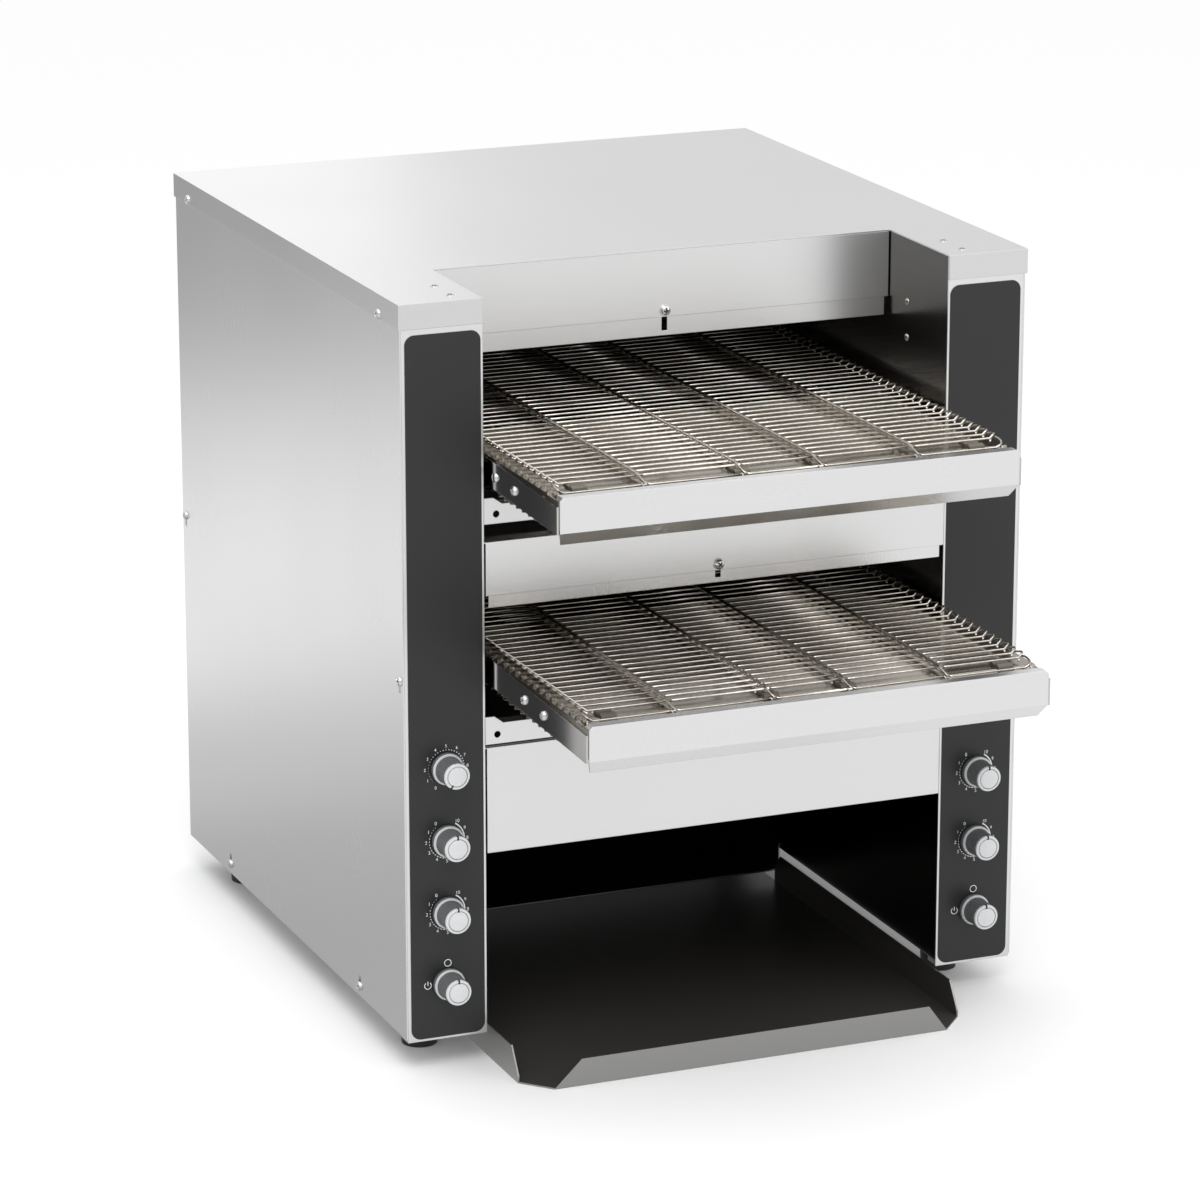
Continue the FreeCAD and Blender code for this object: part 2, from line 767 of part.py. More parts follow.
def deck_heaters(deck):
    """Places of the heater tubes of one deck, as (y, z) centres: the top row, then the bottom row."""
    rear = deck.drive_y - dim("heater_drive_gap")
    first = notch_y + dim("flange_width") + dim("heater_front_gap")
    spacing = (rear - first) / (count("top_heater_count") - 1)
    rise = height_of("heater_rise") if deck.name == "upper" else height_of("lower_heater_rise")
    top = [(rear - spacing * i, deck.belt_top + rise) for i in range(count("top_heater_count"))]
    low = [(rear - spacing * i, deck.axis_z) for i in range(count("bottom_heater_count"))]
    return top + low


def liners():
    """The chamber's inner side walls with their bearing and heater holes."""
    for label, side in SIDES:
        name = label + "_inner_wall"
        holes = []
        for deck in DECKS:
            holes.append((deck.drive_y, deck.axis_z, bush_r + dim("shaft_clearance")))
            holes += [(y, z, dim("heater_radius") + gap) for y, z in deck_heaters(deck)]
        x = side_span(side, opening_half, liner_outer_x)
        z = (panel_bottom_z + sheet_t * 2, column_top_z)
        node(profile(name, "yz", rectangle((face_back_y, back_panel_y), z), x[0], x[1], holes=holes), name)


def heaters():
    """Sheathed heater tubes across each chamber with a ceramic terminal at both ends."""
    for deck in DECKS:
        name = deck.name + "_heaters"
        items = []
        end = liner_outer_x + dim("heater_terminal_length")
        for y, z in deck_heaters(deck):
            parts = [rod(name, "x", (y, z), dim("heater_radius"), -end, end)]
            for label, side in SIDES:
                x = side_span(side, liner_outer_x, end)
                parts.append(rod(name, "x", (y, z), dim("heater_terminal_radius"), x[0], x[1]))
            items.append(fuse(name, parts))
        node(group(name, items), name)


def fascias():
    """The fixed front plates of the opening and the sliding height shields behind two of them."""
    flange = dim("flange_width")
    plates = [
        ("upper_fascia", notch_y, height_of("upper_fascia_bottom"), column_top_z, True),
        ("middle_fascia", front_y, height_of("middle_fascia_bottom"), height_of("middle_fascia_top"), True),
        ("lower_front_panel", front_y, height_of("low_panel_bottom"), height_of("low_panel_top"), False),
    ]
    for name, y, low, high, screwed in plates:
        holes = [(0, low + dim("shield_screw_lift"), hole_r)] if screwed else []
        plate = profile(name, "xz", rectangle((-fascia_half, fascia_half), (low, high)), y, y + sheet_t,
                        holes=holes)
        top = box(name, (-opening_half, opening_half), (y + sheet_t, y + flange), (high - sheet_t, high))
        items = [plate, top]
        shield_depth = y + sheet_t + gap * 2 + dim("shield_flange")
        start = shield_depth if screwed else y + sheet_t
        for label, side in SIDES:
            x = side_span(side, fascia_half - sheet_t, fascia_half)
            items.append(box(name, x, (y + sheet_t, y + flange), (low, high - sheet_t)))
        if not screwed:
            items.append(box(name, (-fascia_half + sheet_t, fascia_half - sheet_t),
                             (start, y + flange), (low, low + sheet_t)))
        node(fuse(name, items), name)

    shields = [
        ("upper_height_shield", notch_y, height_of("upper_shield_bottom"), height_of("upper_fascia_bottom")),
        ("lower_height_shield", front_y, height_of("lower_shield_bottom"),
         height_of("middle_fascia_bottom")),
    ]
    screws = []
    for name, fascia_y, bottom, fascia_bottom in shields:
        y = fascia_y + sheet_t + gap
        half = dim("shield_slot_width") / 2
        slot_low = bottom + dim("shield_slot_lift")
        slot_high = slot_low + height_of("shield_height") * dim("shield_slot_share")
        slot = rectangle((-half, half), (slot_low, slot_high))
        span = (bottom, bottom + height_of("shield_height"))
        plate = profile(name, "xz", rectangle((-shield_half, shield_half), span),
                        y, y + dim("shield_sheet"), cutouts=[slot])
        foot = box(name, (-shield_half, shield_half), (y + dim("shield_sheet"), y + dim("shield_flange")),
                   (bottom, bottom + dim("shield_sheet")))
        node(fuse(name, [plate, foot]), name)
        screws.append(screw("shield", "y", -1, (0, fascia_bottom + dim("shield_screw_lift")), fascia_y, True))
    return screws


def baffles():
    """Reflector sheets over the heaters and under the lower deck."""
    half = opening_half
    upper, lower = DECKS
    rear = lower.drive_y - dim("baffle_drive_gap")
    roof_z = upper.belt_top + height_of("heater_rise") + dim("baffle_rise")
    roof_start = notch_y + dim("flange_width") + gap
    node(box("chamber_roof", (-half, half), (roof_start, back_panel_y - gap), (roof_z, roof_z + liner_t)),
         "chamber_roof")
    divider_z = lower.belt_top + height_of("lower_heater_rise") + dim("baffle_rise")
    start = front_y + dim("flange_width") + gap
    node(box("chamber_divider", (-half, half), (start, rear), (divider_z, divider_z + liner_t)),
         "chamber_divider")
    floor_z = height_of("low_panel_top")
    node(box("chamber_floor", (-half, half), (front_y + sheet_t, rear), (floor_z, floor_z + liner_t)),
         "chamber_floor")


def chute():
    """The slide that turns the toast forward from the back of both decks down to the tray."""
    name = "rear_chute"
    t = dim("chute_sheet")
    half = opening_half
    back = back_panel_y - dim("chute_rear_gap")
    front = front_y + dim("casing_depth") * dim("chute_front_share")
    bend = front_y + dim("casing_depth") * dim("chute_slope_share")
    low = dim("chute_front_height")
    bend_z = height_of("chute_slope_height")
    slide = profile(name, "yz", [
        (front, low), (bend, bend_z), (back, height_of("chute_knee")), (back, height_of("chute_top")),
        (back - t, height_of("chute_top")), (back - t, height_of("chute_knee")), (bend - t, bend_z + t / 2),
        (front, low + t),
    ], -half, half)
    rise = dim("chute_cheek")
    items = [slide]
    for label, side in SIDES:
        x = side_span(side, half - t, half)
        items.append(profile(name + "_" + label, "yz", [
            (front, low), (bend, bend_z), (back, height_of("chute_knee")),
            (back - rise, height_of("chute_knee") + rise), (bend - rise, bend_z + rise), (front, low + rise),
        ], x[0], x[1]))
    for label, side in SIDES:
        x = side_span(side, half - dim("flange_width"), half)
        items.append(box(name, x, (back, back_panel_y), (height_of("chute_top") - t, height_of("chute_top"))))
    node(fuse(name, items), name)


def tray():
    """The loose tray on the table that catches the toast, drawn out towards the front."""
    name = "toast_tray"
    t = dim("tray_sheet")
    half = opening_half - dim("tray_side_gap")
    back = front_y + dim("casing_depth") * dim("tray_wall_share")
    floor_back = front_y + dim("casing_depth") * dim("tray_floor_share")
    corner = front_y - dim("tray_corner_reach")
    lip = front_y - dim("tray_front_reach")
    lip_half = half - dim("tray_lip_inset")
    rise = dim("tray_wall_height")
    floor = profile(name, "xy", [
        (-lip_half, lip), (lip_half, lip), (half, corner), (half, floor_back), (-half, floor_back),
        (-half, corner),
    ], 0, t)
    items = [floor]
    wall_top = front_y - dim("tray_wall_top_reach")
    for label, side in SIDES:
        x = side_span(side, half - t, half)
        items.append(profile(name + "_" + label, "yz", [
            (corner, t), (back, t), (back, rise - dim("tray_rear_cut")), (back - dim("tray_rear_cut"), rise),
            (wall_top, rise), (corner, dim("tray_toe_height")),
        ], x[0], x[1]))
    top_half = float(half - dim("tray_lip_top_inset"))
    lip_top_y = float(lip - dim("tray_lip_lean"))
    lip_height = float(dim("tray_lip_height"))
    corners = [
        Vector(-float(lip_half), float(lip), 0), Vector(float(lip_half), float(lip), 0),
        Vector(top_half, lip_top_y, lip_height), Vector(-top_half, lip_top_y, lip_height),
    ]
    face = Part.Face(Part.makePolygon(corners + corners[:1]))
    items.append(solid(name, face.extrude(Vector(0, float(t), 0))))
    node(fuse(name, items), name)


def toothed_wheel(teeth, root, tip, base_width, tip_width, width, bore, turn):
    """A wheel standing on the YZ plane whose first tooth is turned up by the given angle."""
    points = []
    for k in range(teeth):
        angle = turn + 2 * math.pi * k / teeth
        for radius, across in ((root, -base_width), (tip, -tip_width), (tip, tip_width), (root, base_width)):
            along_y = radius * math.cos(angle) - across / 2 * math.sin(angle)
            along_z = radius * math.sin(angle) + across / 2 * math.cos(angle)
            points.append(Vector(-width / 2, along_y, along_z))
    disc = Part.Face(Part.makePolygon(points + points[:1])).extrude(Vector(width, 0, 0))
    hole = Part.makeCylinder(bore, width * 2, Vector(-width, 0, 0), Vector(1, 0, 0))
    return disc.cut(hole)


def racetrack(radius, run, x, wire):
    """A round wire bent to a closed loop about two parallel axes, standing on the plane at x."""
    pieces = []
    for z in (-radius, radius):
        pieces.append(Part.makeCylinder(wire, run, Vector(x, 0, z), Vector(0, 1, 0)))
    half_ring = Part.makeTorus(radius, wire, Vector(0, 0, 0), Vector(0, 0, 1), 0, 360, 180)
    for y, turn in ((0, 180), (run, 0)):
        end = half_ring.copy()
        end.Placement = FreeCAD.Placement(Vector(x, y, 0), FreeCAD.Rotation(Vector(0, 1, 0), 90).multiply(
            FreeCAD.Rotation(Vector(0, 0, 1), turn)))
        pieces.append(end)
    return pieces[0].multiFuse(pieces[1:])


def loop_places(radius, teeth, pitch, pitches):
    """Points one pitch apart round two equal wheels, as (y, z) from the first wheel's axis."""
    places = []
    for i in range(pitches + 1):
        places.append((pitch * i, radius))
        places.append((pitch * i, -radius))
    for k in range(1, teeth // 2):
        angle = math.pi / 2 + 2 * math.pi * k / teeth
        places.append((radius * math.cos(angle), radius * math.sin(angle)))
        places.append((pitch * pitches - radius * math.cos(angle), radius * math.sin(angle)))
    return places


def belt_sprockets(name, y, z):
    """Four toothed wheels under the belt on one shaft."""
    teeth = count("sprocket_teeth")
    tip = float(belt_r - wire_r - gap)
    root = tip - float(dim("sprocket_tooth_height"))
    wheel = toothed_wheel(teeth, root, tip, float(dim("sprocket_tooth_base")),
                          float(dim("sprocket_tooth_tip")), float(dim("sprocket_width")),
                          float(shaft_r + dim("shaft_clearance")), math.pi / teeth)
    wheels = []
    for place in (outer_wheel_x, inner_wheel_x):
        for label, side in SIDES:
            copy = wheel.copy()
            copy.translate(Vector(float(place) * side, float(y), float(z)))
            wheels.append(copy)
    return wheels


chain_x = liner_outer_x + dim("chain_line_offset")


def chain_wheel(bore, y, z):
    tip = float(chain_r - dim("chain_roller_radius") - gap)
    root = tip - float(dim("chain_tooth_height"))
    teeth = count("chain_teeth")
    wheel = toothed_wheel(teeth, root, tip, float(dim("chain_tooth_base")), float(dim("chain_tooth_tip")),
                          float(dim("chain_wheel_width")), float(bore), math.pi / 2 + math.pi / teeth)
    wheel.translate(Vector(float(chain_x), float(y), float(z)))
    return wheel


def chain(deck):
    """A closed roller chain between the wheel on the drive shaft and the motor's wheel below it."""
    pitch = float(dim("chain_pitch"))
    drop = count("chain_drop_pitches")
    inner = float(dim("chain_wheel_width")) / 2 + float(gap) * 2
    plate = float(dim("chain_plate_thickness"))
    half_width = float(dim("chain_plate_width")) / 2
    pieces = []
    for start in (-inner - plate, inner):
        outer_loop = slot_prism(float(chain_r) + half_width, pitch * drop, start, plate)
        inner_loop = slot_prism(float(chain_r) - half_width, pitch * drop, start, plate)
        pieces.append(outer_loop.cut(inner_loop))
    for u, v in loop_places(float(chain_r), count("chain_teeth"), pitch, drop):
        pieces.append(Part.makeCylinder(float(dim("chain_roller_radius")), inner * 2,
                                        Vector(-inner, u, v), Vector(1, 0, 0)))
    loop = Part.makeCompound(pieces)
    loop.Placement = FreeCAD.Placement(Vector(float(chain_x), float(deck.drive_y), float(deck.motor_z)),
                                       FreeCAD.Rotation(Vector(1, 0, 0), 90))
    return loop


def slot_prism(radius, run, x, thickness):
    """A flat piece with two straight sides and half-round ends, standing on the plane at x."""
    lines = [
        Part.LineSegment(Vector(x, 0, radius), Vector(x, run, radius)),
        Part.Arc(Vector(x, run, radius), Vector(x, run + radius, 0), Vector(x, run, -radius)),
        Part.LineSegment(Vector(x, run, -radius), Vector(x, 0, -radius)),
        Part.Arc(Vector(x, 0, -radius), Vector(x, -radius, 0), Vector(x, 0, radius)),
    ]
    return Part.Face(Part.Wire([line.toShape() for line in lines])).extrude(Vector(thickness, 0, 0))


def conveyor(deck):
    """One conveyor: front rail, pan, side plates, wire belt, both shafts and their wheels."""
    name = deck.name + "_front_rail"
    t = dim("rail_sheet")
    half = plate_outer_x - dim("rail_end_inset")
    y = deck.rail_y
    fold_z = deck.rail_top - dim("rail_height")
    lip_z = fold_z - dim("rail_lip_drop")
    lip_y = y + dim("rail_lip_back")
    flange_y = y + dim("rail_top_flange")
    rail = profile(name, "yz", [
        (y, deck.rail_top), (y, fold_z), (lip_y, lip_z), (lip_y + t, lip_z), (y + t, fold_z + t / 2),
        (y + t, deck.rail_top - t), (flange_y, deck.rail_top - t), (flange_y, deck.rail_top),
    ], -half, half)
    items = [rail]
    corners = []
    pan_t = dim("pan_sheet")
    tab_end = plate_inner_x - pan_t
    end_cut = half - dim("rail_end_cut")
    corner = half - dim("rail_corner_cut")
    corner_z = deck.rail_top - dim("rail_corner_cut")
    for label, side in SIDES:
        items.append(box(name, side_span(side, tab_end - t, tab_end), (y + t, flange_y),
                         (fold_z + t, deck.rail_top - t)))
        lower = [(half, fold_z), (half + over, fold_z), (half + over, lip_z - over),
                 (end_cut, lip_z - over), (end_cut, lip_z)]
        upper = [(corner, deck.rail_top), (corner, deck.rail_top + over),
                 (half + over, deck.rail_top + over), (half + over, corner_z), (half, corner_z)]
        for place, points in (("low", lower), ("high", upper)):
            corners.append(profile(f"{name}_{label}_{place}", "xz", [(u * side, v) for u, v in points],
                                   y - over, flange_y + over))
    node(cut(name, fuse(name, items), corners), name)

    name = deck.name + "_side_plates"
    middle_z = (deck.plate_top + deck.plate_bottom) / 2
    front = y + t
    back = deck.plate_back_y
    items = []
    for label, side in SIDES:
        x = side_span(side, plate_inner_x, plate_outer_x)
        plate = profile(name + "_" + label, "yz", [
            (front, deck.plate_bottom + deck.plate_rise(front)),
            (back, deck.plate_bottom + deck.plate_rise(back)),
            (back, deck.plate_top + deck.plate_rise(back)),
            (front, deck.plate_top + deck.plate_rise(front)),
        ], x[0], x[1], holes=[(sy, middle_z + deck.plate_rise(sy), hole_r) for sy in deck.screw_ys])
        spacer_x = side_span(side, plate_outer_x, opening_half)
        spacers = [rod(name, "x", (sy, middle_z + deck.plate_rise(sy)), dim("spacer_radius"),
                       spacer_x[0], spacer_x[1]) for sy in deck.spacer_ys]
        items.append(fuse(name, [plate] + spacers))
    node(group(name, items), name)

    name = deck.name + "_pan"
    pan_half = plate_inner_x
    pan_top = deck.belt_top - dim("pan_drop")
    pan_low = pan_top - pan_t
    bend_y = deck.idler_y - dim("pan_bend_reach")
    nose_y = deck.idler_y - dim("pan_nose_reach")
    nose_z = deck.axis_z + dim("pan_nose_rise")
    slot_half = dim("pan_slot_width") / 2
    slot_straight = deck.idler_y + dim("pan_slot_straight")
    slot_back = deck.idler_y + dim("pan_slot_length")
    items = [
        box(name, (-pan_half, pan_half), (bend_y, back), (pan_low, pan_top)),
        profile(name + "_nose", "yz", [
            (bend_y, pan_top), (nose_y, nose_z), (nose_y + pan_t, nose_z), (bend_y + pan_t, pan_low),
            (bend_y + pan_t, pan_top)], -pan_half, pan_half),
    ]
    bushings = []
    for label, side in SIDES:
        x = side_span(side, pan_half - pan_t, pan_half)
        items.append(profile(name + "_" + label, "yz",
                             rectangle((front, back), (pan_top - dim("pan_flange"), pan_low)), x[0], x[1],
                             holes=[(deck.idler_y, deck.axis_z, shaft_r + dim("bushing_flange"))] +
                                   [(sy, middle_z + deck.plate_rise(sy), hole_r) for sy in deck.screw_ys]))
        ring_x = side_span(side, pan_half - pan_t * 2, pan_half)
        ring = rod("shaft_bushings", "x", (deck.idler_y, deck.axis_z), shaft_r + dim("bushing_flange"),
                   ring_x[0], ring_x[1])
        bore = rod("shaft_bushings", "x", (deck.idler_y, deck.axis_z), shaft_r + dim("shaft_clearance"),
                   ring_x[0] - over, ring_x[1] + over)
        bushings.append(cut("shaft_bushings", ring, [bore]))
        ring_x = side_span(side, opening_half - dim("bushing_flange"), liner_outer_x + dim("bushing_flange"))
        ring = rod("shaft_bushings", "x", (deck.drive_y, deck.axis_z), bush_r, ring_x[0], ring_x[1])
        bore = rod("shaft_bushings", "x", (deck.drive_y, deck.axis_z), shaft_r + dim("shaft_clearance"),
                   ring_x[0] - over, ring_x[1] + over)
        bushings.append(cut("shaft_bushings", ring, [bore]))
    slots = []
    for number, place in enumerate((-outer_wheel_x, -inner_wheel_x, inner_wheel_x, outer_wheel_x)):
        slots.append(profile(f"{name}_slot_{number}", "xy", [
            (place - slot_half, nose_y - over), (place - slot_half, slot_straight),
            (place - slot_half / 2, slot_back), (place + slot_half / 2, slot_back),
            (place + slot_half, slot_straight), (place + slot_half, nose_y - over),
        ], nose_z - over, pan_top + over))
    node(cut(name, fuse(name, items), slots), name)

    name = deck.name + "_belt"
    radius = float(belt_r)
    wire = float(wire_r)
    pitch = float(dim("belt_pitch"))
    width = float(belt_half * 2)
    wires = []
    for u, v in loop_places(radius, count("sprocket_teeth"), pitch, deck.pitches):
        wires.append(Part.makeCylinder(wire, width, Vector(-width / 2, u, v), Vector(1, 0, 0)))
    link_radius = radius - wire * 2
    link_x = belt_half * dim("link_share")
    inner_link_x = belt_half * dim("inner_link_share")
    for place in (width / 2 - wire, float(link_x), float(inner_link_x)):
        for label, side in SIDES:
            wires.append(racetrack(link_radius, pitch * deck.pitches, place * side, wire))
    belt = solid(name, Part.makeCompound(wires))
    belt.Placement.Base = Vector(0, float(deck.idler_y), float(deck.axis_z))
    node(belt, name)

    name = deck.name + "_idler_shaft"
    end = plate_inner_x - gap
    node(rod(name, "x", (deck.idler_y, deck.axis_z), shaft_r, -end, end), name)
    name = deck.name + "_idler_sprockets"
    node(solid(name, Part.makeCompound(belt_sprockets(name, deck.idler_y, deck.axis_z))), name)
    name = deck.name + "_drive_shaft"
    node(rod(name, "x", (deck.drive_y, deck.axis_z), shaft_r, -liner_outer_x - dim("bushing_wall") * 2,
             chain_x + dim("bushing_wall") * 2), name)
    name = deck.name + "_drive_sprockets"
    wheels = belt_sprockets(name, deck.drive_y, deck.axis_z)
    wheels.append(chain_wheel(shaft_r + dim("shaft_clearance"), deck.drive_y, deck.axis_z))
    node(solid(name, Part.makeCompound(wheels)), name)

    name = deck.name + "_motor_wheel"
    motor_r = float(dim("motor_shaft_radius"))
    gearbox_x = liner_outer_x + dim("motor_stand")
    wheel = chain_wheel(motor_r, deck.drive_y, deck.motor_z)
    start = chain_x - dim("chain_wheel_width")
    length = gearbox_x + dim("motor_gearbox_length") / 2 - start
    stub = Part.makeCylinder(motor_r, float(length),
                             Vector(float(start), float(deck.drive_y), float(deck.motor_z)),
                             Vector(1, 0, 0))
    node(solid(name, wheel.fuse(stub)), name)

    name = deck.name + "_cross_beam"
    beam_t = dim("beam_sheet")
    half = opening_half
    low = height_of(deck.name + "_beam_bottom")
    high = height_of(deck.name + "_beam_top")
    tab = dim("beam_tab_width")
    step = (high - low) / 4
    face = [(-half, low), (half, low), (half, high), (half - tab / 2, high), (half - tab, high - step),
            (-half + tab, high - step), (-half + tab / 2, high), (-half, high)]
    holes = [((half - dim("beam_hole_inset")) * side, low + dim("beam_hole_lift"), dim("beam_hole_radius"))
             for label, side in SIDES]
    front = profile(name, "xz", face, front_y, front_y + beam_t, holes=holes)
    ledge = box(name, (-half, half), (front_y + beam_t, front_y + dim("beam_depth")), (low, low + beam_t))
    roof = box(name, (-half, half), (front_y + beam_t, front_y + dim("beam_depth")),
               (high - step - beam_t, high - step))
    node(fuse(name, [front, ledge, roof]), name)

    screws = []
    for label, side in SIDES:
        for sy in deck.screw_ys:
            sz = middle_z + deck.plate_rise(sy)
            screws.append(screw("rail", "x", side, (sy, sz), plate_outer_x * side))
    return bushings, screws


def motors():
    """Gear motors on standoffs beside the right inner wall, and the two drive chains."""
    items = []
    for deck in DECKS:
        name = "gear_motors"
        half = dim("motor_size") / 2
        start = liner_outer_x + dim("motor_stand")
        end = start + dim("motor_gearbox_length")
        y = deck.drive_y
        z = deck.motor_z
        gearbox = box(name, (start, end), (y - half, y + half), (z - half, z + half))
        can_x = start + dim("motor_can_radius") + gap
        can = rod(name, "y", (can_x, z), dim("motor_can_radius"), y + half,
                  y + half + dim("motor_can_length"))
        legs = []
        off = half - dim("motor_standoff_radius")
        for sy in (-1, 1):
            for sz in (-1, 1):
                legs.append(rod(name, "x", (y + off * sy, z + off * sz), dim("motor_standoff_radius"),
                                liner_outer_x, start))
        bore = rod(name, "x", (y, z), dim("motor_shaft_radius") + dim("shaft_clearance"),
                   start - over, start + dim("motor_gearbox_length") / 2 + gap)
        items.append(cut(name, fuse(name, [gearbox, can] + legs), [bore]))
    node(group("gear_motors", items), "gear_motors")
    node(solid("drive_chains", Part.makeCompound([chain(deck) for deck in DECKS])), "drive_chains")


def fan():
    """The cooling fan in the left compartment, behind the vents of the back panel."""
    name = "fan_housing"
    half = dim("fan_size") / 2
    x = -compartment_x
    z = height_of("fan_height")
    y = (back_panel_y - dim("fan_depth"), back_panel_y)
    frame = box(name, (x - half, x + half), y, (z - half, z + half))
    duct = rod(name, "y", (x, z), dim("fan_bore_radius"), y[0] - over, y[1] + over)
    ring = cut(name, frame, [duct])
    bar = dim("fan_bar_width")
    bars = [
        box(name, (x - half, x + half), (y[1] - bar, y[1]), (z - bar, z + bar)),
        box(name, (x - bar, x + bar), (y[1] - bar, y[1]), (z - half, z + half)),
    ]
    pin = rod(name, "y", (x, z), dim("fan_pin_radius"), y[0] + gap, y[1] - bar)
    node(fuse(name, [ring, pin] + bars), name)

    name = "fan_rotor"
    depth = (y[0] + gap * 2, y[1] - bar * 2)
    hub = rod(name, "y", (x, z), dim("fan_hub_radius"), depth[0], depth[1])
    blades = []
    reach = float(dim("fan_blade_reach"))
    chord = float(dim("fan_hub_radius"))
    thickness = float(dim("fan_blade_sheet"))
    centre = Vector(float(x), float(depth[0] + depth[1]) / 2, float(z))
    for i in range(count("fan_blades")):
        blade = Part.makeBox(reach, thickness, chord, Vector(0, -thickness / 2, -chord / 2))
        blade.rotate(Vector(0, 0, 0), Vector(1, 0, 0), DIMENSIONS["fan_blade_angle"])
        blade.rotate(Vector(0, 0, 0), Vector(0, 1, 0), 360 * i / count("fan_blades"))
        blade.translate(centre)
        blades.append(solid(name, blade))
    bore = rod(name, "y", (x, z), dim("fan_pin_radius") + dim("shaft_clearance"), depth[0] - over,
               depth[1] + over)
    node(cut(name, fuse(name, [hub] + blades), [bore]), name)


def gland():
    """The cable gland low on the right of the back panel."""
    name = "cable_gland"
    centre = (compartment_x, height_of("gland_height"))
    wall = back_panel_y + sheet_t
    tip = back_y + dim("gland_out")
    nut = (tip - wall) / 3
    items = [
        rod(name, "y", centre, dim("gland_nut_radius"), wall, wall + nut),
        taper(name, "y", centre, dim("gland_radius") + gap * 4, dim("gland_radius") - gap * 4,
              wall + nut, tip),
        rod(name, "y", centre, dim("gland_radius"), back_panel_y - nut, wall),
        rod(name, "y", centre, dim("gland_nut_radius"), back_panel_y - nut, back_panel_y),
    ]
    bore = rod(name, "y", centre, dim("gland_bore_radius"), back_panel_y - nut - over, tip + over)
    node(cut(name, fuse(name, items), [bore]), name)


def feet():
    """Four tapered rubber feet under the base plate."""
    items = []
    for label, side in SIDES:
        for y in (front_y + dim("foot_front_place"), back_y - dim("foot_rear_margin")):
            centre = (compartment_x * side, y)
            items.append(taper("feet", "z", centre, dim("foot_tip_radius"), dim("foot_radius"),
                               0, panel_bottom_z + sheet_t))
    node(group("feet", items), "feet")


def fasteners(shield_screws, rail_screws):
    """All pan-head screws, and the flush rivets on the top cover."""
    screws = shield_screws + rail_screws
    for label, side in SIDES:
        for y, z, way in side_screws:
            screws.append(screw("casing", "x", side, (y, z), panel_outer_x * side))
        for y, z in lip_screws:
            screws.append(screw("casing", "x", side, (y, z), cover_half * side))
    node(group("pan_head_screws", screws), "pan_head_screws")
    rivets = []
    for label, side in SIDES:
        for place in ("rivet_front_place", "rivet_rear_place"):
            centre = (rivet_x * side, front_y + dim(place))
            rivets.append(taper("rivet", "z", centre, dim("rivet_radius"), dim("rivet_radius") / 2,
                                top_z, top_z + dim("rivet_height")))
    node(group("cover_rivets", rivets), "cover_rivets")


casing()
columns()
knobs()
liners()
heaters()
shield_screws = fascias()
baffles()
chute()
tray()
all_bushings = []
all_rail_screws = []
for deck in DECKS:
    deck_bushings, deck_screws = conveyor(deck)
    all_bushings += deck_bushings
    all_rail_screws += deck_screws
node(group("shaft_bushings", all_bushings), "shaft_bushings")
motors()
fan()
gland()
feet()
fasteners(shield_screws, all_rail_screws)

doc.recompute()
for item in doc.Objects:
    if "Invalid" in item.State or "Error" in item.State:
        raise RuntimeError(f"{item.Name} is {item.State}")
for item in NODES:
    if item.Shape.isNull() or not item.Shape.isValid():
        raise RuntimeError(f"{item.Label} has no valid shape")
    item.Shape.exportStep(f"parts/{item.Label}.step")
print(len(NODES), "sub-parts")
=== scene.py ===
import math

import bmesh
import bpy
from mathutils import Matrix, Vector


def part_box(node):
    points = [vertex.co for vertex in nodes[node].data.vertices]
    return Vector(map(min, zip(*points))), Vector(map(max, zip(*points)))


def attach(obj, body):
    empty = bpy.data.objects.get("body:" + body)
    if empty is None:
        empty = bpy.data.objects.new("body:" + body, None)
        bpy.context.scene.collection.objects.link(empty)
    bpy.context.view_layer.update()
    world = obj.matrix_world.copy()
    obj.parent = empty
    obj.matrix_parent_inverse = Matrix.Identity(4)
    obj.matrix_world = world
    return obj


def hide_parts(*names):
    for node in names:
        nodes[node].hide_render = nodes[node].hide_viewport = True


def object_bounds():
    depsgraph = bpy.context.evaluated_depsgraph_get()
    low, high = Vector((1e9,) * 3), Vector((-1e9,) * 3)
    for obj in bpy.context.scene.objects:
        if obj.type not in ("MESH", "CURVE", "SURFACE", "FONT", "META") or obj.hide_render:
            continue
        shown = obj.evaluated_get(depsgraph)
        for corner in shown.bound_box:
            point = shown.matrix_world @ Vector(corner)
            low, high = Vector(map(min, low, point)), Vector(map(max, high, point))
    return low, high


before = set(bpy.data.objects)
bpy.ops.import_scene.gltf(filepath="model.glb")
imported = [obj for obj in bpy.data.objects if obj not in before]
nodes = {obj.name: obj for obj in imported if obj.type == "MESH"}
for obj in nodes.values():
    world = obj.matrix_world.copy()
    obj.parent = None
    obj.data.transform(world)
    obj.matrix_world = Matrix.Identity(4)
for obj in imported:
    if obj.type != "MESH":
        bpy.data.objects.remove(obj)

cad_low, cad_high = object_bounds()
decks = ("upper", "lower")

# Sizes are in metres and angles in degrees, unless a comment says otherwise.
MILLIMETRE = 0.001
# Corners of a CAD mesh closer than this are one corner.
MERGE_REACH = 1e-7

# Wire belts.
WIRE = 0.0008
BELT_PITCH = 0.0120
BELT_TEETH = 8
JOINT_PLACES = (-0.110, -0.031, 0.031, 0.110)
HOOK_REACH = 0.0034
TUBE_SIDES = 8
# One hook of a cross wire round the next one, as (sideways in mm, pitches on, outward in wire radii).
HOOK = (
    (1.0, 0.00, 0.0), (0.8, 0.12, 0.2), (-0.4, 0.45, 0.6), (-1.7, 0.82, 1.3), (-2.6, 1.00, 1.7),
    (-3.1, 1.13, 0.2), (-2.6, 1.06, -1.6), (-1.0, 0.78, -1.5), (1.4, 0.32, -1.0), (3.0, 0.07, -0.3),
    (4.4, 0.00, 0.0),
)
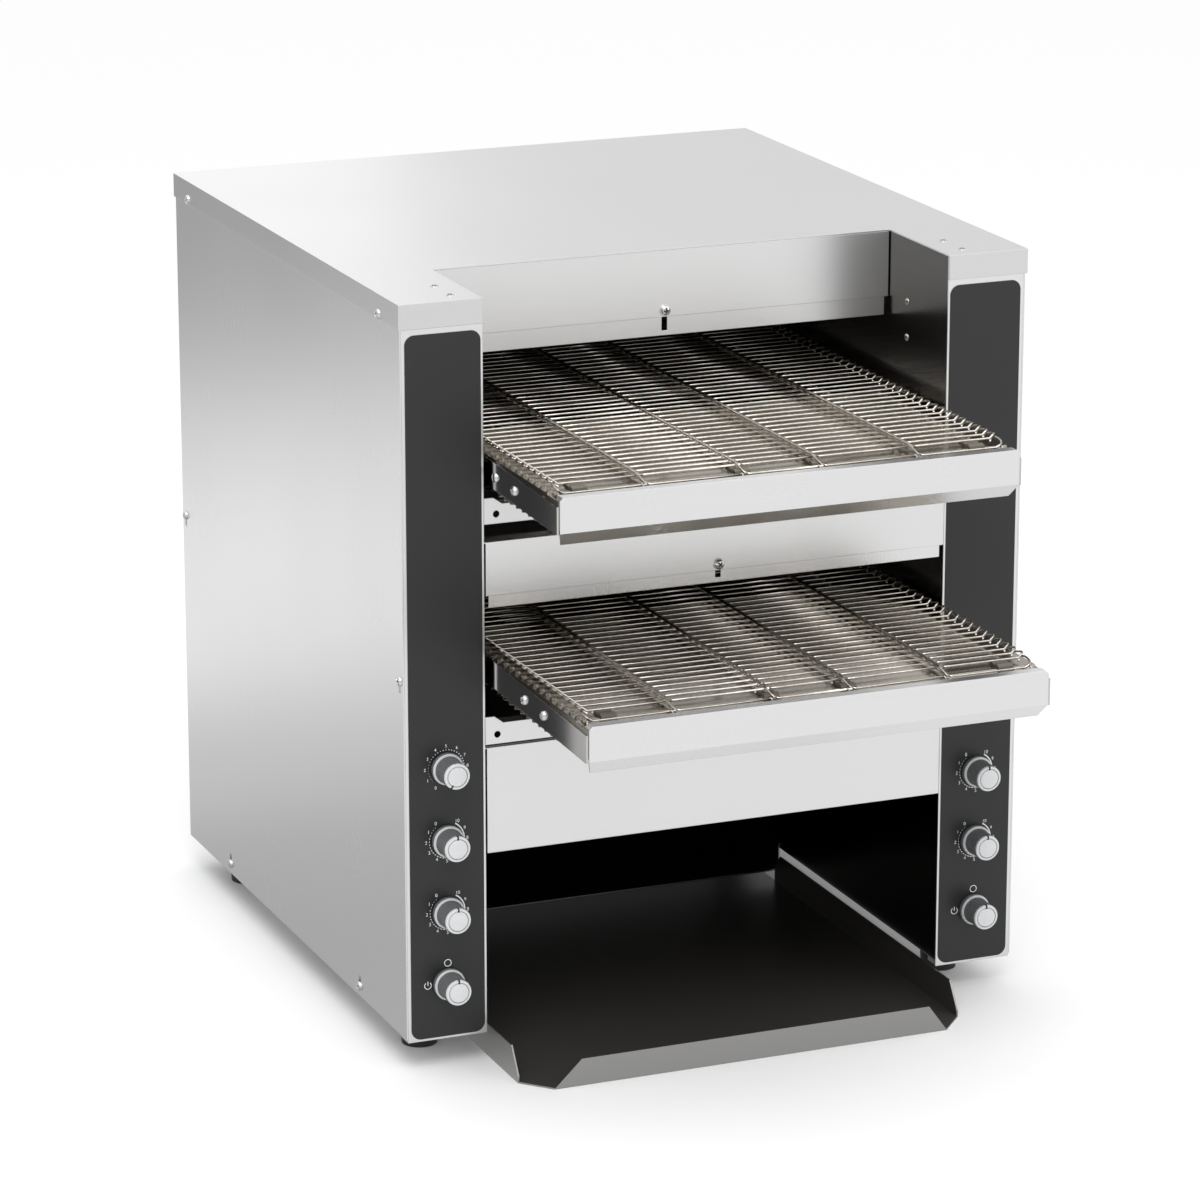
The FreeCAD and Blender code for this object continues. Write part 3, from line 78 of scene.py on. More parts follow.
# The loop at the right-hand end, from the wire out to the belt's edge and back.
END = (
    (-5.8, 0.00, 0.0), (-4.4, 0.02, 1.0), (-2.8, 0.06, 2.6), (-1.0, 0.18, 3.6), (0.0, 0.42, 3.4),
    (-0.1, 0.70, 2.4), (-0.9, 0.94, 1.5), (-2.2, 1.14, 0.8), (-3.6, 1.17, -0.8), (-4.8, 1.02, -1.8),
    (-5.8, 0.86, -1.8),
)

# Screws.
SCREW_HEAD_RADIUS = 0.0039
SCREW_HEAD_HEIGHT = 0.0024
SCREW_SHANK_RADIUS = 0.0020
SCREW_TIP_SHARE = 0.7
SCREW_TIP_LENGTH = 0.0006
SCREW_SHARP = 35
SHANK_SIDES = 20
HEAD_RINGS = 18
HEAD_SIDES = 48
HEAD_RING_POWER = 1.35
DOME_POWER = 3.2
DOME_ROOT = 0.45
RECESS_WIDTH = 0.0010
RECESS_REACH = 0.0024
RECESS_DEPTH = 0.0013
RECESS_MIDDLE_SHARE = 1.25
RECESS_RISE_SHARE = 0.8
# How far each screw's recess is turned from the one before it, in radians.
RECESS_TURN_STEP = 0.83
WASHER_RADIUS = 0.0046
WASHER_THICKNESS = 0.0008
WASHER_EDGE = 0.0002
WASHER_EDGE_SHARE = 0.97
WASHER_SIDES = 36
# The two small screws on the right inner wall, as (behind the cover's front edge, height).
WALL_SCREW_PLACES = ((0.072, 0.5481), (0.072, 0.5198))
WALL_SCREW_RADIUS = 0.0030
WALL_SCREW_SINK = 0.0010
# In radians too.
WALL_SCREW_TURN = 0.4

# A flush rivet's rings, as (share of its radius, share of its rise, material index); index 1 is the painted
# shade of the groove round its middle.
RIVET_RING_SHARES = (
    (1.0, 0.0, 0), (0.97, 0.7, 0), (0.84, 1.0, 0), (0.64, 0.95, 0), (0.55, 0.25, 1), (0.44, 0.2, 1),
    (0.36, 0.6, 1), (0.12, 0.7, 0), (0.0, 0.7, 0),
)
RIVET_SIDES = 40
RIVET_SHARP = 50

# Control knobs.
KNOB_TURN = {"speed": 210.0, "top_heat": 0.0, "bottom_heat": 0.0, "power": 0.0}
KNOB_LIFT = 0.0006
KNOB_BASE_RADIUS = 0.0123
KNOB_BASE_DEPTH = 0.0060
KNOB_GRIP_RADIUS = 0.0101
KNOB_CAP_DEPTH = 0.0026
KNOB_SHARP = 40
KNOB_FLUTES = 36
SIDES_PER_FLUTE = 6
FLUTE_SHARE = 0.030
FLUTE_START = 0.0002
FLUTE_INNER_SHARE = 0.93
CAP_FLUTE_SHARE = 0.012
CAP_FLUTE_START = 0.0003
# A knob's rings from its foot to its face, as (share of the radius, height past the level, material index).
DARK, RING, FACE = range(3)
FOOT_RINGS = ((0.97, 0.0, DARK), (1.0, 0.0004, DARK))
SKIRT_RINGS = ((1.0, -0.0014, DARK), (0.985, -0.0008, RING), (0.955, -0.0002, RING), (0.93, 0.0, RING))
GRIP_RINGS = ((1.06, 0.0, RING), (1.04, -0.0004, DARK), (1.0, 0.0005, DARK))
NECK_RINGS = ((0.985, -0.0008, DARK), (0.96, -0.0002, DARK), (0.96, 0.0, DARK), (0.985, 0.0004, FACE),
              (1.0, 0.0008, FACE))
FACE_RINGS = ((0.995, -0.0007, FACE), (0.955, -0.0001, FACE), (0.92, 0.0, FACE), (0.80, 0.0, FACE),
              (0.785, -0.0005, DARK), (0.755, -0.0005, DARK), (0.74, 0.0001, FACE), (0.70, 0.0002, FACE),
              (0.0, 0.0002, FACE))
SPINDLE_RADIUS = 0.0030
SPINDLE_TIP_RADIUS = 0.0027
SPINDLE_TIP_LENGTH = 0.0004
SPINDLE_OVERLAP = 0.0002
SPINDLE_SIDES = 24
NOTCH_WIDTH = 0.0012
NOTCH_LIFT = 0.00035
NOTCH_EDGE = 0.0004
NOTCH_DEPTH = 0.0010
NOTCH_INNER_DEPTH = 0.0008
NOTCH_END = 0.0002
NOTCH_INNER_SHARE = 0.72
NOTCH_OUTER_SHARE = 1.012
NOTCH_SHARP = 30

# Printed scales, with angles clockwise from 12 o'clock.
PRINT_LIFT = 0.00008
DIGIT_HEIGHT = 0.0027
CAPITAL_SHARE = 0.72
NUMBERS = 11
HEAT_DASHES = 30
HEAT_DASH_RADIUS = 0.0139
HEAT_DASH_START = -40.0
HEAT_DASH_END = -326.0
HEAT_DASH_STEPS = 3
HEAT_DASH_LENGTH_SHARES = (0.35, 0.72)
HEAT_DASH_WIDTHS = (0.00028, 0.00078)
HEAT_DASH_OUTWARD_SHARE = 0.3
HEAT_DIGIT_RADIUS = 0.0166
HEAT_DIGIT_START = -32.0
HEAT_DIGIT_STEP = -29.7
SPEED_DOTS = 26
SPEED_DOT_RADIUS = 0.0143
SPEED_DOT_START = 230.0
SPEED_DOT_SWEEP = 232.0
SPEED_DOT_SIZES = (0.00016, 0.00040)
SPEED_DOT_SIDES = 12
SPEED_DIGIT_RADIUS = 0.0172
SPEED_DIGIT_START = 210.0
SPEED_DIGIT_STEP = 30.0
SPEED_DIGIT_SHARE = 0.92
SYMBOL_REACH = 0.0163
SYMBOL_RADIUS = 0.0027
SYMBOL_STEPS = 36
POWER_ARC = (38.0, 322.0)
POWER_ARC_STEPS = 30
POWER_STROKE_SHARE = 1.25
STROKE = 0.0006

# Which of the tray's faces are inside and get painted shade: the part of their normal that has to look up,
# or in.
TRAY_FLOOR_FACING = 0.85
TRAY_WALL_FACING = 0.3
TRAY_LIP_DEPTH = 0.06

# Materials. Noise scales are per metre, and each roughness is how far noise moves it either way.
STREAKS_ACROSS = 320.0
STREAKS_ALONG = 2.5
STREAK_ROUGHNESS = 0.003
CLOUD_SCALE = 6.0
CLOUD_ROUGHNESS = 0.02
SPECKLE_ROUGHNESS = 0.03
# The part of the noise's values that is spread over a range of numbers, and over a range of colours.
NOISE_RANGE = (0.3, 0.7)
TINT_RANGE = (0.32, 0.68)
RELIEF_DEPTH = 0.0002
BEVEL_SAMPLES = 4

# Floor.
FLOOR_HALF = 30.0
FLOOR_DROP = 0.0002
FLOOR_COLOUR = (0.95, 0.95, 0.95)
FLOOR_ROUGHNESS = 0.9
# The camera sees the floor as plain white by a weight that grows between two distances from this place.
SEEN_MIDDLE = (0.0, 0.30, 0.0)
SEEN_REACH = (0.35, 2.60)
SEEN_WEIGHT = (0.0, 0.90)
# Mirrors see it by this weight as a painted reflection in the tones below, which lie between these two
# places along Y.
MIRRORED_WEIGHT = 0.85
PAINTED_REFLECTION_REACH = (-1.0, 3.0)
# A painted reflection: how bright mirrors see the floor at that many metres behind the machine's middle,
# dimmer near the machine as painted shadow and dimmer far behind it as painted fall-off of the light.
PAINTED_REFLECTION_TONES = (
    (-0.30, 0.88), (-0.12, 0.40), (0.10, 0.38), (0.34, 0.40), (0.60, 0.57), (1.00, 0.94), (1.30, 0.97),
    (1.75, 0.82), (2.10, 0.50), (2.50, 0.32),
)

# Lamps, as name: (place, size, power in watts).
LAMPS = {
    "key": ((-1.2, -2.4, 3.6), (2.4, 2.4), 70.0),
    "fill": ((2.8, -2.2, 2.0), (3.6, 3.6), 32.0),
    "back": ((0.2, 3.0, 1.6), (1.5, 1.3), 2.8),
    "overhead": ((0.0, 0.6, 3.8), (5.0, 5.0), 44.0),
}
# The sky's two colours, with the share of the way from nadir to zenith at which each is reached.
SKY_COLOURS = ((0.40, (0.52, 0.52, 0.53)), (0.95, (0.92, 0.92, 0.92)))
SKY_STRENGTH = 0.92
SKY_MIRRORED_WEIGHT = 0.55

# Camera, solved from the casing's corners in the photograph.
TARGET = Vector((0.0, 0.0, 0.300))
AZIMUTH = -22.4805
ELEVATION = 16.0919
DISTANCE = 4.05996
OFFSET_RIGHT = -0.02196
OFFSET_UP = -0.00025
LENS_MM = 153.31
SENSOR_MM = 36.0
CLIP = (0.05, 200.0)


# Materials.
def new_material(name):
    made = bpy.data.materials.new(name)
    made.use_nodes = True
    return made, made.node_tree, made.node_tree.nodes["Principled BSDF"]


def rounded_edges(tree, radius):
    """A normal that softens sharp edges, as a fold or a deburred edge has."""
    bevel = tree.nodes.new("ShaderNodeBevel")
    bevel.samples = BEVEL_SAMPLES
    bevel.inputs["Radius"].default_value = radius
    return bevel.outputs["Normal"]


def grain(tree, stretch, detail):
    """Noise in object space, stretched by a scale on each axis."""
    place = tree.nodes.new("ShaderNodeTexCoord")
    mapping = tree.nodes.new("ShaderNodeMapping")
    mapping.inputs["Scale"].default_value = stretch
    noise = tree.nodes.new("ShaderNodeTexNoise")
    noise.inputs["Scale"].default_value = 1.0
    noise.inputs["Detail"].default_value = detail
    tree.links.new(place.outputs["Object"], mapping.inputs["Vector"])
    tree.links.new(mapping.outputs["Vector"], noise.inputs["Vector"])
    return noise.outputs["Fac"]


def map_range(tree, value, source, target=(0.0, 1.0)):
    """Maps a number from one range to another."""
    scale = tree.nodes.new("ShaderNodeMapRange")
    scale.inputs["From Min"].default_value, scale.inputs["From Max"].default_value = source
    scale.inputs["To Min"].default_value, scale.inputs["To Max"].default_value = target
    tree.links.new(value, scale.inputs["Value"])
    return scale.outputs["Result"]


def spread(tree, noise, middle, reach):
    """Maps noise to numbers within a reach of a middle value."""
    return map_range(tree, noise, NOISE_RANGE, (middle - reach, middle + reach))


def tint(tree, noise, colour, vary):
    """Maps noise to colours that are darker and lighter by a share."""
    dark = tuple(part * (1 - vary) for part in colour)
    light = tuple(min(1.0, part * (1 + vary)) for part in colour)
    ramp = tree.nodes.new("ShaderNodeValToRGB")
    for stop, position, shade in zip(ramp.color_ramp.elements, TINT_RANGE, (dark, light)):
        stop.position = position
        stop.color = (*shade, 1.0)
    tree.links.new(noise, ramp.inputs["Fac"])
    return ramp.outputs["Color"]


def relief(tree, noise, strength, normal=None):
    """A normal that follows the noise as fine relief, on top of another normal if there is one."""
    bump = tree.nodes.new("ShaderNodeBump")
    bump.inputs["Strength"].default_value = strength
    bump.inputs["Distance"].default_value = RELIEF_DEPTH
    tree.links.new(noise, bump.inputs["Height"])
    if normal is not None:
        tree.links.new(normal, bump.inputs["Normal"])
    return bump.outputs["Normal"]


def steel(name, colour, roughness, along="x", vary=0.003, edge=0.0006):
    """Ground stainless sheet with fine streaks along one axis."""
    made, tree, shader = new_material(name)
    streaks = grain(tree, tuple(STREAKS_ALONG if axis == along else STREAKS_ACROSS for axis in "xyz"), 1.0)
    clouds = grain(tree, (CLOUD_SCALE,) * 3, 1.0)
    tree.links.new(tint(tree, streaks, colour, vary), shader.inputs["Base Color"])
    shader.inputs["Metallic"].default_value = 1.0
    add = tree.nodes.new("ShaderNodeMath")
    add.operation = "ADD"
    tree.links.new(spread(tree, streaks, roughness, STREAK_ROUGHNESS), add.inputs[0])
    tree.links.new(spread(tree, clouds, 0.0, CLOUD_ROUGHNESS), add.inputs[1])
    tree.links.new(add.outputs["Value"], shader.inputs["Roughness"])
    tree.links.new(rounded_edges(tree, edge), shader.inputs["Normal"])
    return made


def plain(name, colour, roughness, metallic=0.0, speckle=900.0, vary=0.06, bump=0.0, specular=0.5, edge=0.0):
    """A moulded, painted, cast or turned surface with faint unevenness."""
    made, tree, shader = new_material(name)
    noise = grain(tree, (speckle,) * 3, 2.0)
    tree.links.new(tint(tree, noise, colour, vary), shader.inputs["Base Color"])
    tree.links.new(spread(tree, noise, roughness, SPECKLE_ROUGHNESS), shader.inputs["Roughness"])
    shader.inputs["Metallic"].default_value = metallic
    shader.inputs["Specular IOR Level"].default_value = specular
    normal = rounded_edges(tree, edge) if edge else None
    if bump:
        normal = relief(tree, noise, bump, normal)
    if normal is not None:
        tree.links.new(normal, shader.inputs["Normal"])
    return made


front_steel = steel("brushed_steel_front", (0.80, 0.80, 0.80), 0.30)
fascia_steel = steel("brushed_steel_fascia", (0.80, 0.80, 0.80), 0.26, along="z", vary=0.005)
side_steel = steel("brushed_steel_side", (0.79, 0.79, 0.79), 0.26, along="z")
# Painted shade: the top cover's steel is a darker copy of the casing's steel.
top_painted_shade_steel = steel("brushed_steel_top_painted_shade", (0.72, 0.72, 0.72), 0.30)
rail_steel = steel("brushed_steel_rail", (0.82, 0.82, 0.82), 0.28)
mirror_steel = steel("bright_annealed_sheet", (0.60, 0.59, 0.58), 0.13, along="y")
pan_steel = steel("heat_tinted_pan", (0.31, 0.285, 0.25), 0.17, along="y", vary=0.02)
# Painted reflection: the inner walls' sheet is coloured near black for the dark chamber that it reflects.
wall_painted_shade = steel("inner_wall_painted_shade", (0.115, 0.113, 0.110), 0.22, along="z", vary=0.02)
# Painted shade: the chamber's roof, divider and floor are coloured near black for the shade inside the
# chamber.
chamber_painted_shade = steel("chamber_sheet_painted_shade", (0.16, 0.15, 0.14), 0.34, vary=0.08)
# Painted shade: the rear chute is coloured dark for the shade in the tray bay.
chute_painted_shade = steel("chute_sheet", (0.22, 0.22, 0.22), 0.30, along="z", vary=0.05)
# Painted shade: the tray's sheet is dimmed for the shade under the lower panel.
tray_painted_shade_steel = steel("tray_sheet", (0.34, 0.337, 0.333), 0.30, along="y")
# Painted shade: near black for the tray's inner faces.
tray_shade_inside = plain("tray_inside_painted_shade", (0.054, 0.051, 0.047), 0.32, speckle=500.0, vary=0.08,
                    specular=0.60)
overlay_film = plain("black_overlay_film", (0.016, 0.016, 0.017), 0.36, speckle=2600.0, bump=0.05,
                     specular=0.45)
knob_side = plain("knob_dark_grey", (0.130, 0.138, 0.140), 0.42, speckle=1800.0, bump=0.03)
knob_ring = plain("knob_light_ring", (0.58, 0.59, 0.60), 0.38, speckle=1800.0)
knob_face = plain("knob_light_face", (0.66, 0.67, 0.68), 0.40, speckle=1800.0, bump=0.02)
notch_black = plain("knob_black_notch", (0.010, 0.010, 0.010), 0.5)
print_white = plain("printed_light_grey", (0.85, 0.85, 0.85), 0.55, speckle=3000.0, vary=0.03)
hook_steel = plain("belt_hook_steel", (0.40, 0.37, 0.33), 0.24, metallic=1.0, speckle=300.0, vary=0.15)
belt_steel = plain("belt_wire_steel", (0.74, 0.70, 0.64), 0.17, metallic=1.0, speckle=300.0, vary=0.12)
screw_steel = plain("polished_screw", (0.66, 0.66, 0.65), 0.12, metallic=1.0, speckle=700.0, vary=0.03)
# Painted shade: the dark colour of the screws' cross recesses and of the rivets' middle groove.
recess_painted_shade = plain("screw_recess_painted_shade", (0.05, 0.05, 0.05), 0.45, metallic=0.8, speckle=700.0)
wheel_metal = plain("dark_wheel", (0.150, 0.135, 0.112), 0.40, metallic=0.6, speckle=700.0, vary=0.08,
                    edge=0.0004)
sheath = plain("oxidised_sheath", (0.10, 0.085, 0.075), 0.48, metallic=0.7, speckle=260.0, vary=0.25)
rubber = plain("foot_rubber_black", (0.018, 0.018, 0.018), 0.62, speckle=1200.0, bump=0.1, edge=0.001)
plastic = plain("black_plastic", (0.022, 0.022, 0.023), 0.45, speckle=1500.0, bump=0.05, edge=0.0005)
casting = plain("cast_motor_metal", (0.34, 0.35, 0.36), 0.52, metallic=0.8, speckle=900.0, vary=0.08,
                bump=0.1, edge=0.001)
bronze = plain("sintered_bronze", (0.50, 0.34, 0.17), 0.40, metallic=1.0, speckle=1200.0, vary=0.1,
               edge=0.0003)

BY_SLOT = {
    "stainless_casing": front_steel,
    "stainless_liner": wall_painted_shade,
    "overlay_black": overlay_film,
    "knob_grey": knob_side,
    "belt_wire": belt_steel,
    "bright_steel": screw_steel,
    "wheel_steel": wheel_metal,
    "heater_sheath": sheath,
    "foot_rubber": rubber,
    "control_plastic": plastic,
    "motor_casting": casting,
    "bushing_bronze": bronze,
}
BY_NODE = {
    "left_side_panel": side_steel,
    "right_side_panel": side_steel,
    "top_cover": top_painted_shade_steel,
    "middle_fascia": fascia_steel,
    "lower_height_shield": fascia_steel,
    "upper_front_rail": rail_steel,
    "lower_front_rail": rail_steel,
    "upper_side_plates": mirror_steel,
    "lower_side_plates": mirror_steel,
    "upper_pan": pan_steel,
    "lower_pan": pan_steel,
    "chamber_roof": chamber_painted_shade,
    "chamber_divider": chamber_painted_shade,
    "chamber_floor": chamber_painted_shade,
    "rear_chute": chute_painted_shade,
    "toast_tray": tray_painted_shade_steel,
}


def dress_cad():
    """Gives every CAD mesh its material, by its own name or by its slot's."""
    for name, item in nodes.items():
        for place in item.material_slots:
            given = place.material.name if place.material else ""
            slot_name = next((key for key in BY_SLOT if given.startswith(key)), "stainless_casing")
            place.material = BY_NODE.get(name, BY_SLOT[slot_name])


def coat_tray():
    """Paints the tray's inner faces near black as painted shade: its floor, and the walls that look at its
    middle.
    """
    tray = nodes["toast_tray"]
    low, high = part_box("toast_tray")
    tray.data.materials.append(tray_shade_inside)
    shaded_index = len(tray.data.materials) - 1
    for polygon in tray.data.polygons:
        at = tray.matrix_world @ polygon.center
        normal = polygon.normal
        is_floor = normal.z > TRAY_FLOOR_FACING
        is_side = abs(normal.x) > TRAY_WALL_FACING and normal.x * (low.x + high.x - 2 * at.x) > 0
        is_lip = normal.y > TRAY_WALL_FACING and at.y < low.y + TRAY_LIP_DEPTH
        if is_floor or is_side or is_lip:
            polygon.material_index = shaded_index


dress_cad()
coat_tray()


# Mesh helpers.
def finished(name, bm, materials, body, sharp=None):
    """Makes the shown object of a piece and lets it ride on its body."""
    bmesh.ops.recalc_face_normals(bm, faces=bm.faces)
    mesh = bpy.data.meshes.new(name)
    bm.to_mesh(mesh)
    bm.free()
    for entry in materials:
        mesh.materials.append(entry)
    mesh.polygons.foreach_set("use_smooth", [True] * len(mesh.polygons))
    if sharp:
        mesh.set_sharp_from_angle(angle=math.radians(sharp))
    made = bpy.data.objects.new(name, mesh)
    bpy.context.scene.collection.objects.link(made)
    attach(made, body)
    return made


def tube(bm, points, radius):
    """A round wire through the points, closed at both ends."""
    count = len(points)
    side = None
    rings = []
    for i in range(count):
        before = points[max(i - 1, 0)]
        after = points[min(i + 1, count - 1)]
        along = (after - before).normalized()
        if side is None:
            helper = Vector((0, 0, 1)) if abs(along.z) < 0.9 else Vector((0, 1, 0))
            side = along.cross(helper).normalized()
        side = (side - along * side.dot(along)).normalized()
        other = along.cross(side)
        ring = []
        for k in range(TUBE_SIDES):
            angle = 2 * math.pi * k / TUBE_SIDES
            outward = side * math.cos(angle) + other * math.sin(angle)
            ring.append(bm.verts.new(points[i] + outward * radius))
        rings.append(ring)
    for a, b in zip(rings, rings[1:]):
        for k in range(TUBE_SIDES):
            n = (k + 1) % TUBE_SIDES
            bm.faces.new((a[k], a[n], b[n], b[k]))
    for ring in (rings[0], rings[-1]):
        bm.faces.new(ring)


def lathe(bm, rings, sides, place, ripple=None):
    """Rings of (radius, height, material index) about local Z, capped at both ends.

    ripple gives a factor for the radius from an angle, a radius and a height.
    """
    loops = []
    for radius, height, index in rings:
        if radius <= 0:
            loops.append([bm.verts.new(place @ Vector((0, 0, height)))])
            continue
        loop = []
        for k in range(sides):
            angle = 2 * math.pi * k / sides
            reach = radius * (ripple(angle, radius, height) if ripple else 1.0)
            point = Vector((reach * math.cos(angle), reach * math.sin(angle), height))
            loop.append(bm.verts.new(place @ point))
        loops.append(loop)
    for i in range(1, len(loops)):
        a, b = loops[i - 1], loops[i]
        for k in range(sides):
            n = (k + 1) % sides
            if len(a) == 1:
                face = bm.faces.new((a[0], b[n], b[k]))
            elif len(b) == 1:
                face = bm.faces.new((a[k], a[n], b[0]))
            else:
                face = bm.faces.new((a[k], a[n], b[n], b[k]))
            face.material_index = rings[i][2]
    for loop, ring in ((loops[0], rings[0]), (loops[-1], rings[-1])):
        if len(loop) > 1:
            bm.faces.new(loop).material_index = ring[2]


def islands(node):
    """Boxes of the separate shells in a CAD node's mesh, as (low, high)."""
    bm = bmesh.new()
    bm.from_mesh(nodes[node].data)
    bmesh.ops.remove_doubles(bm, verts=bm.verts, dist=MERGE_REACH)
    seen = set()
    found = []
    for start in bm.verts:
        if start in seen:
            continue
        seen.add(start)
        stack = [start]
        low = Vector(start.co)
        high = Vector(start.co)
        while stack:
            vertex = stack.pop()
            for axis in range(3):
                low[axis] = min(low[axis], vertex.co[axis])
                high[axis] = max(high[axis], vertex.co[axis])
            for edge in vertex.link_edges:
                other = edge.other_vert(vertex)
                if other not in seen:
                    seen.add(other)
                    stack.append(other)
        found.append((low, high))
    bm.free()
    return found


def facing(point, axis, outward):
    """A frame at the point whose Z looks outward along that axis."""
    direction = Vector((0, 0, 0))
    direction[axis] = outward
    return Matrix.Translation(point) @ direction.to_track_quat("Z", "Y").to_matrix().to_4x4()


# Wire belts.
class Loop:
    """A belt's line round its two wheels, from its CAD box, as places of (y, z, outward y, outward z)."""

    def __init__(self, node):
        low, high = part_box(node)
        reach = (high.z - low.z) / 2
        first = low.y + reach
        last = high.y - reach
        self.axis_z = (low.z + high.z) / 2
        self.radius = reach - WIRE
        self.count = round((last - first) / BELT_PITCH)
        self.places = []
        self.straight(first, 1.0)
        self.wrap(last, math.pi / 2)
        self.straight(last, -1.0)
        self.wrap(first, -math.pi / 2)

    def straight(self, start, side):
        """The wires of the top run (side 1) or of the bottom run (side -1)."""
        for i in range(self.count + 1):
            y = start + side * i * BELT_PITCH
            self.places.append((y, self.axis_z + side * self.radius, 0.0, side))

    def wrap(self, centre_y, start_angle):
        """The wires round one wheel, between the two runs."""
        for k in range(1, BELT_TEETH // 2):
            angle = start_angle - 2 * math.pi / BELT_TEETH * k
            out_y = math.cos(angle)
            out_z = math.sin(angle)
            y = centre_y + self.radius * out_y
            self.places.append((y, self.axis_z + self.radius * out_z, out_y, out_z))

    def at(self, x, run, lift):
        """The point at that many pitches round the loop and that far outward."""
        total = len(self.places)
        whole = math.floor(run)
        part = run - whole
        a = self.places[whole % total]
        b = self.places[(whole + 1) % total]
        y, z, out_y, out_z = (a[i] * (1 - part) + b[i] * part for i in range(4))
        return Vector((x, y + out_y * lift, z + out_z * lift))


def build_belt(node):
    """Cross wires that hook into each other at every joint and end in a loop at both edges."""
    loop = Loop(node)
    low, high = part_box(node)
    edge = high.x - WIRE
    bm = bmesh.new()
    for i in range(len(loop.places)):
        points = [loop.at(-edge - dx * MILLIMETRE, i + run, lift * WIRE) for dx, run, lift in reversed(END)]
        for joint in JOINT_PLACES:
            points += [loop.at(joint + dx * MILLIMETRE, i + run, lift * WIRE) for dx, run, lift in HOOK]
        points += [loop.at(edge + dx * MILLIMETRE, i + run, lift * WIRE) for dx, run, lift in END]
        tube(bm, points, WIRE)
    for face in bm.faces:
        x = face.calc_center_median().x
        nearest = min(abs(x - joint) for joint in JOINT_PLACES)
        face.material_index = 1 if nearest < HOOK_REACH or abs(x) > edge - HOOK_REACH else 0
    made = finished(node + "_wires", bm, [belt_steel, hook_steel], "casing")
    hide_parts(node)


for deck in decks:
    build_belt(deck + "_belt")


# Screws and rivets.
def head_surface(x, y, head_radius, turn):
    """Height of a pan head over its seat at that place, and whether its cross recess lies there."""
    radius = math.hypot(x, y)
    height = SCREW_HEAD_HEIGHT * max(0.0, 1 - (radius / head_radius) ** DOME_POWER) ** DOME_ROOT
    u = abs(x * math.cos(turn) + y * math.sin(turn))
    v = abs(y * math.cos(turn) - x * math.sin(turn))
    deep = min(u, v) < RECESS_WIDTH / 2 and max(u, v) < RECESS_REACH
    if deep:
        height -= RECESS_DEPTH * (RECESS_MIDDLE_SHARE - RECESS_RISE_SHARE * max(u, v) / RECESS_REACH)
    return height, deep


def screw_head(bm, place, head_radius, start, turn):
    """A domed pan head with a cross recess, its seat at local height start; the recess's faces take the
    painted shade.
    """
    loops = []
    for j in range(HEAD_RINGS + 1):
        radius = head_radius * (1 - j / HEAD_RINGS) ** HEAD_RING_POWER
        loop = []
        for k in range(HEAD_SIDES if radius > 0 else 1):
            angle = 2 * math.pi * k / HEAD_SIDES
            x = radius * math.cos(angle)
            y = radius * math.sin(angle)
            height, deep = head_surface(x, y, head_radius, turn)
            loop.append((bm.verts.new(place @ Vector((x, y, start + height))), deep))
        loops.append(loop)
    for a, b in zip(loops, loops[1:]):
        for k in range(HEAD_SIDES):
            n = (k + 1) % HEAD_SIDES
            ring = (a[k], a[n], b[0]) if len(b) == 1 else (a[k], a[n], b[n], b[k])
            face = bm.faces.new([vertex for vertex, deep in ring])
            # Faces inside the cross recess take material 1, a painted shade.
            face.material_index = 1 if all(deep for vertex, deep in ring) else 0
    bm.faces.new([vertex for vertex, deep in reversed(loops[0])])


def build_screws():
    """A cross-head screw for each plain one of the CAD, with a washer where the CAD has one."""
    bm = bmesh.new()
    for number, (low, high) in enumerate(islands("pan_head_screws")):
        span = high - low
        axis = max(range(3), key=lambda i: span[i])
        outward = -1.0 if axis == 1 else math.copysign(1.0, (low + high)[axis])
        washer = min(span) > SCREW_HEAD_RADIUS + WASHER_RADIUS
        lift = WASHER_THICKNESS if washer else 0.0
        seat = (low + high) / 2
        head_end = high[axis] if outward > 0 else low[axis]
        seat[axis] = head_end - outward * (SCREW_HEAD_HEIGHT + lift)
        place = facing(seat, axis, outward)
        screw_head(bm, place, SCREW_HEAD_RADIUS, lift, number * RECESS_TURN_STEP)
        tip = SCREW_HEAD_HEIGHT + lift - span[axis]
        shank = [(SCREW_SHANK_RADIUS * SCREW_TIP_SHARE, tip, 0),
                 (SCREW_SHANK_RADIUS, tip + SCREW_TIP_LENGTH, 0), (SCREW_SHANK_RADIUS, lift, 0)]
        lathe(bm, shank, SHANK_SIDES, place)
        if washer:
            narrow = WASHER_RADIUS * WASHER_EDGE_SHARE
            ring = [(narrow, 0.0, 0), (WASHER_RADIUS, WASHER_EDGE, 0),
                    (WASHER_RADIUS, lift - WASHER_EDGE, 0), (narrow, lift, 0)]
            lathe(bm, ring, WASHER_SIDES, place)
    screws = finished("phillips_screws", bm, [screw_steel, recess_painted_shade], "casing", SCREW_SHARP)
    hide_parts("pan_head_screws")


def build_rivets():
    """Flush rivets with a groove round their middle, painted dark as shade."""
    bm = bmesh.new()
    for low, high in islands("cover_rivets"):
        centre = (low + high) / 2
        radius = (high.x - low.x) / 2
        rise = high.z - low.z
        rings = [(radius * wide, rise * tall, index) for wide, tall, index in RIVET_RING_SHARES]
        lathe(bm, rings, RIVET_SIDES, Matrix.Translation((centre.x, centre.y, low.z)))
    rivets = finished("ring_rivets", bm, [screw_steel, recess_painted_shade], "casing", RIVET_SHARP)
    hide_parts("cover_rivets")


def build_wall_screws():
    """Two small screws on the right inner wall, in front of the upper fascia."""
    front_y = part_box("top_cover")[0].y
    wall_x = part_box("right_inner_wall")[0].x
    bm = bmesh.new()
    for depth, height in WALL_SCREW_PLACES:
        place = facing(Vector((wall_x, front_y + depth, height)), 0, -1.0)
        screw_head(bm, place, WALL_SCREW_RADIUS, -WALL_SCREW_SINK, WALL_SCREW_TURN)
    wall_screws = finished("inner_wall_screws", bm, [hook_steel, recess_painted_shade], "casing", SCREW_SHARP)


build_screws()
build_rivets()
build_wall_screws()


